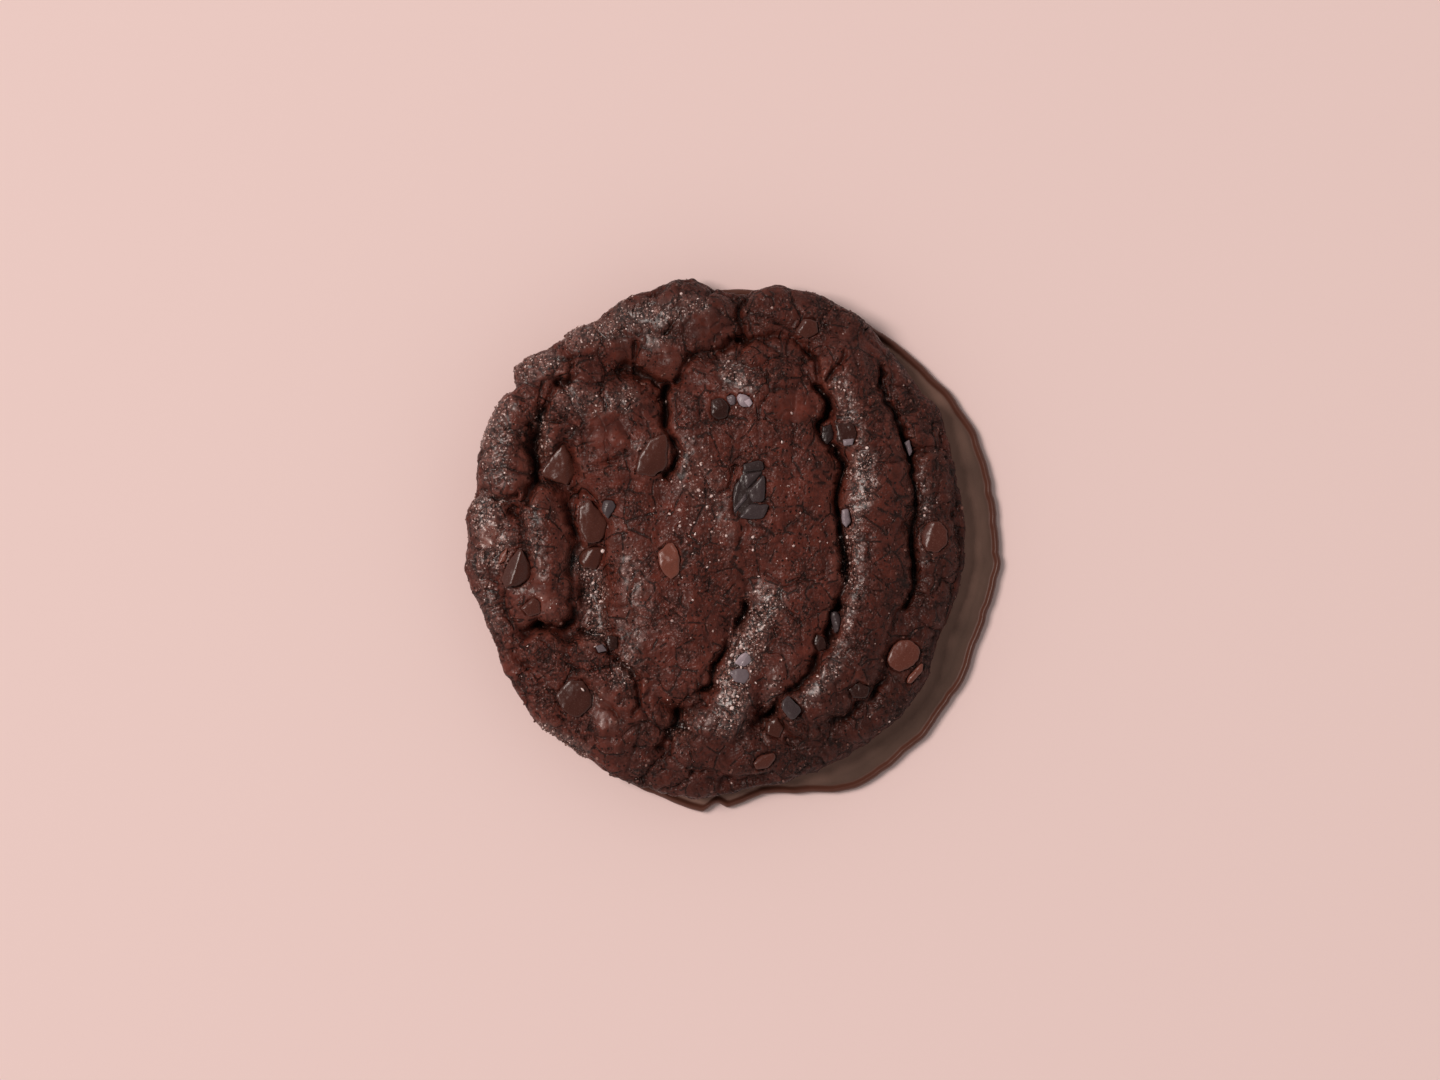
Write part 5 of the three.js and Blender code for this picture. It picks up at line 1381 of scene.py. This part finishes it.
def finish_crumbs():
    """Dark to pale brown by tone, dusted with the grain's pale specks."""
    material, tree, shader = new_finish("crumbs")
    grain = use_group(tree, crumb_grain, {"Place": millimetres(tree), "Rough": 0.3})
    colour = blend_colours(tree, mask_of(tree, "tone"), DOUGH_DARK, CRUMB_PALE)
    colour = blend_colours(tree, times(tree, grain["Specks"], 0.4), colour, SHEEN_AND_SPECK_DULL)
    tree.links.new(colour, shader.inputs["Base Color"])
    tree.links.new(ramp(tree, grain["Mottle"], 0.3, 0.7, 0.65, 0.4), shader.inputs["Roughness"])
    bump_surface(tree, shader, grain["Height"], 0.5 * MM)
    return material


def finish_sugar():
    """Browned to clear by tone, with a little of the dough's colour showing through."""
    material, tree, shader = new_finish("sugar grains")
    grain = use_group(tree, crumb_grain, {"Place": millimetres(tree), "Rough": 0.0})
    colour = blend_colours(tree, mask_of(tree, "tone"), SUGAR_BROWNED, SUGAR_CLEAR)
    colour = blend_colours(tree, times(tree, grain["Mottle"], 0.3), colour, DOUGH_CREST)
    tree.links.new(colour, shader.inputs["Base Color"])
    tree.links.new(ramp(tree, grain["Mottle"], 0.3, 0.7, 0.35, 0.15), shader.inputs["Roughness"])
    return material


crumbs.data.materials.append(finish_crumbs())
sugar.data.materials.append(finish_sugar())

# %% [markdown]
# ## Chocolate
# Drops run from nearly black to a light milky brown, and chunks from dark brown to a bluish
# white; a tone kept with each piece picks its place between two colours. Set chocolate is smooth
# with low waves, and fat bloom leaves a dull dust on it in places.

# %% Finish of the chocolate pieces
CHOCOLATES = [  # piece; finish; dark, light and dust colours; roughness, bump strength, specular
    (milk_chips, "milk chips", (74, 38, 31), (115, 65, 53), (124, 82, 71), 0.26, 0.2, 0.3),
    (dark_chips, "dark chips", (46, 24, 20), (86, 46, 37), (90, 54, 46), 0.24, 0.2, 0.3),
    (bloomed_chunks, "bloomed chunks", (42, 30, 29), (172, 156, 164), (88, 76, 78), 0.26, 0.25, 0.25),
]
CHOCOLATE_BUMP = 0.4 * MM


def finish_chocolate(name, dark, light, dust, roughness, bump_strength, specular):
    """Dark to light by tone, clouded by the mottle, with a duller dust of bloom."""
    material, tree, shader = new_finish(name)
    surface = use_group(tree, set_chocolate, {"Place": millimetres(tree)})
    colour = blend_colours(tree, mask_of(tree, "tone"), screen_colour(*dark), screen_colour(*light))
    cloudy = ramp(tree, surface["Mottle"], 0.35, 0.65, 0.0, 0.18)
    colour = blend_colours(tree, cloudy, colour, SHADE_AND_MOTTLE_BLACK)
    colour = blend_colours(tree, times(tree, surface["Dust"], 0.3), colour, screen_colour(*dust))
    tree.links.new(colour, shader.inputs["Base Color"])
    matte = maths(tree, "ADD", times(tree, surface["Dust"], 0.25), roughness)
    tree.links.new(matte, shader.inputs["Roughness"])
    shader.inputs["Specular IOR Level"].default_value = specular
    bump_surface(tree, shader, surface["Height"], CHOCOLATE_BUMP, bump_strength)
    return material


for piece, *finish in CHOCOLATES:
    piece.data.materials.append(finish_chocolate(*finish))
    print(piece.name, "wears", piece.data.materials[0].name)

# %% [markdown]
# ## The base's finish
# The base is the same set chocolate, thin and spread flat, but greyer and matte. It is painted
# pale close to the dough, painted light that cancels the shade the dough casts there, and its
# bead is glossier and redder.

# %% Finish of the base
BASE_BROWN = screen_colour(82, 62, 53)
# Painted light near the dough, where the dough's shadow falls
BASE_PAINTED_LIGHT = screen_colour(156, 120, 106)
LIP_BROWN = screen_colour(84, 50, 40)
BASE_BUMP_STRENGTH = 0.2
BASE_SPECULAR = 0.2


def finish_base():
    """Brown, painted pale near the dough as light that cancels its shadow, its own brown on the bead,
    lightly clouded.
    """
    material, tree, shader = new_finish("set base")
    surface = use_group(tree, set_chocolate, {"Place": millimetres(tree)})
    colour = blend_colours(tree, mask_of(tree, "tone"), BASE_BROWN, BASE_PAINTED_LIGHT)
    colour = blend_colours(tree, mask_of(tree, "lip"), colour, LIP_BROWN)
    cloudy = ramp(tree, surface["Mottle"], 0.35, 0.65, 0.0, 0.1)
    tree.links.new(blend_colours(tree, cloudy, colour, SHADE_AND_MOTTLE_BLACK), shader.inputs["Base Color"])
    matte = ramp(tree, mask_of(tree, "lip"), 0.0, 1.0, 0.65, 0.32)
    matte = maths(tree, "ADD", times(tree, surface["Dust"], 0.15), matte)
    tree.links.new(matte, shader.inputs["Roughness"])
    shader.inputs["Specular IOR Level"].default_value = BASE_SPECULAR
    bump_surface(tree, shader, surface["Height"], CHOCOLATE_BUMP, BASE_BUMP_STRENGTH)
    return material


base.data.materials.append(finish_base())

# %% [markdown]
# ## Floor, light and camera
# The cookie lies on plain pale ground and is seen from straight above through a long lens. One
# soft light from the left makes every fold cast a short shadow to the right, and a dim sky,
# brighter near the horizon than overhead, fills the shadows. The colours were chosen for the
# plain Standard view, which shows them as they are.

# %% Floor
FLOOR_HALF = 1.5
FLOOR_PALE = screen_colour(232, 208, 205)


def make_floor():
    """One large square face through the origin."""
    mesh = bpy.data.meshes.new("floor")
    corners = FLOOR_HALF * np.array([(-1, -1, 0), (1, -1, 0), (1, 1, 0), (-1, 1, 0)])
    mesh.from_pydata(corners.tolist(), [], [(0, 1, 2, 3)])
    floor = bpy.data.objects.new("floor", mesh)
    bpy.context.scene.collection.objects.link(floor)
    material, tree, shader = new_finish("pale floor")
    shader.inputs["Base Color"].default_value = FLOOR_PALE
    shader.inputs["Roughness"].default_value = 0.9
    shader.inputs["Specular IOR Level"].default_value = 0.1
    mesh.materials.append(material)


make_floor()

# %% Light
KEY_COLOUR = (1.0, 0.88, 0.82)
KEY_DIRECTION = np.array([-0.62, 0.2, 1.0])
KEY_DISTANCE = 4.0
KEY_SIZE = 1.5
KEY_POWER = 124.0
SKY_COLOUR = (1.0, 0.95, 0.92, 1.0)
SKY_WALLS, SKY_CEILING = 0.70, 0.15


def add_key_light():
    """Square light at its distance from the cookie along its direction, facing it."""
    light = bpy.data.lights.new("key", "AREA")
    light.size = KEY_SIZE
    light.energy = KEY_POWER
    light.color = KEY_COLOUR
    lamp = bpy.data.objects.new("key", light)
    bpy.context.scene.collection.objects.link(lamp)
    towards = KEY_DIRECTION / np.linalg.norm(KEY_DIRECTION)
    lamp.location = (towards * KEY_DISTANCE).tolist()
    azimuth, lean = math.atan2(towards[1], towards[0]), math.acos(towards[2])
    lamp.rotation_euler = (0.0, lean, azimuth)


def make_sky():
    """Bright walls and a dim ceiling: the light falls off with the height of the direction."""
    sky = bpy.data.worlds.new("sky")
    bpy.context.scene.world = sky
    sky.use_nodes = True
    tree = sky.node_tree
    tree.nodes.clear()
    direction = add_node(tree, "ShaderNodeTexCoord").outputs["Generated"]
    height = add_node(tree, "ShaderNodeSeparateXYZ", {"Vector": direction}).outputs["Z"]
    strength = ramp(tree, height, 0.35, 0.85, SKY_WALLS, SKY_CEILING)
    glow = add_node(tree, "ShaderNodeBackground", {"Color": SKY_COLOUR, "Strength": strength})
    add_node(tree, "ShaderNodeOutputWorld", {0: glow.outputs[0]})


add_key_light()
make_sky()
bpy.context.scene.view_settings.view_transform = "Standard"
print("key light, watts:", KEY_POWER)

# %% Camera
VIEW_WIDTH = 288.0
VIEW_CENTRE = np.array([0.8, 0.0])
VIEW_HEIGHT = 8.0
CAMERA_DISTANCE = 1.2
SENSOR_WIDTH = 36.0


def add_camera():
    """Camera looking straight down, its lens long enough that the view width just fills it."""
    camera = bpy.data.cameras.new("camera")
    camera.sensor_width = SENSOR_WIDTH
    camera.lens = SENSOR_WIDTH * CAMERA_DISTANCE / (VIEW_WIDTH * MM)
    eye = bpy.data.objects.new("camera", camera)
    bpy.context.scene.collection.objects.link(eye)
    x, y = (VIEW_CENTRE + PLAN_SHIFT[:2]) * MM
    eye.location = (x, y, VIEW_HEIGHT * MM + CAMERA_DISTANCE)
    bpy.context.scene.camera = eye


add_camera()
print("lens, mm:", round(bpy.context.scene.camera.data.lens, 1))

# %% [markdown]
# ## Finish
# The dressed cookie has to keep the size of the solid.

# %% Finish
bpy.context.view_layer.update()
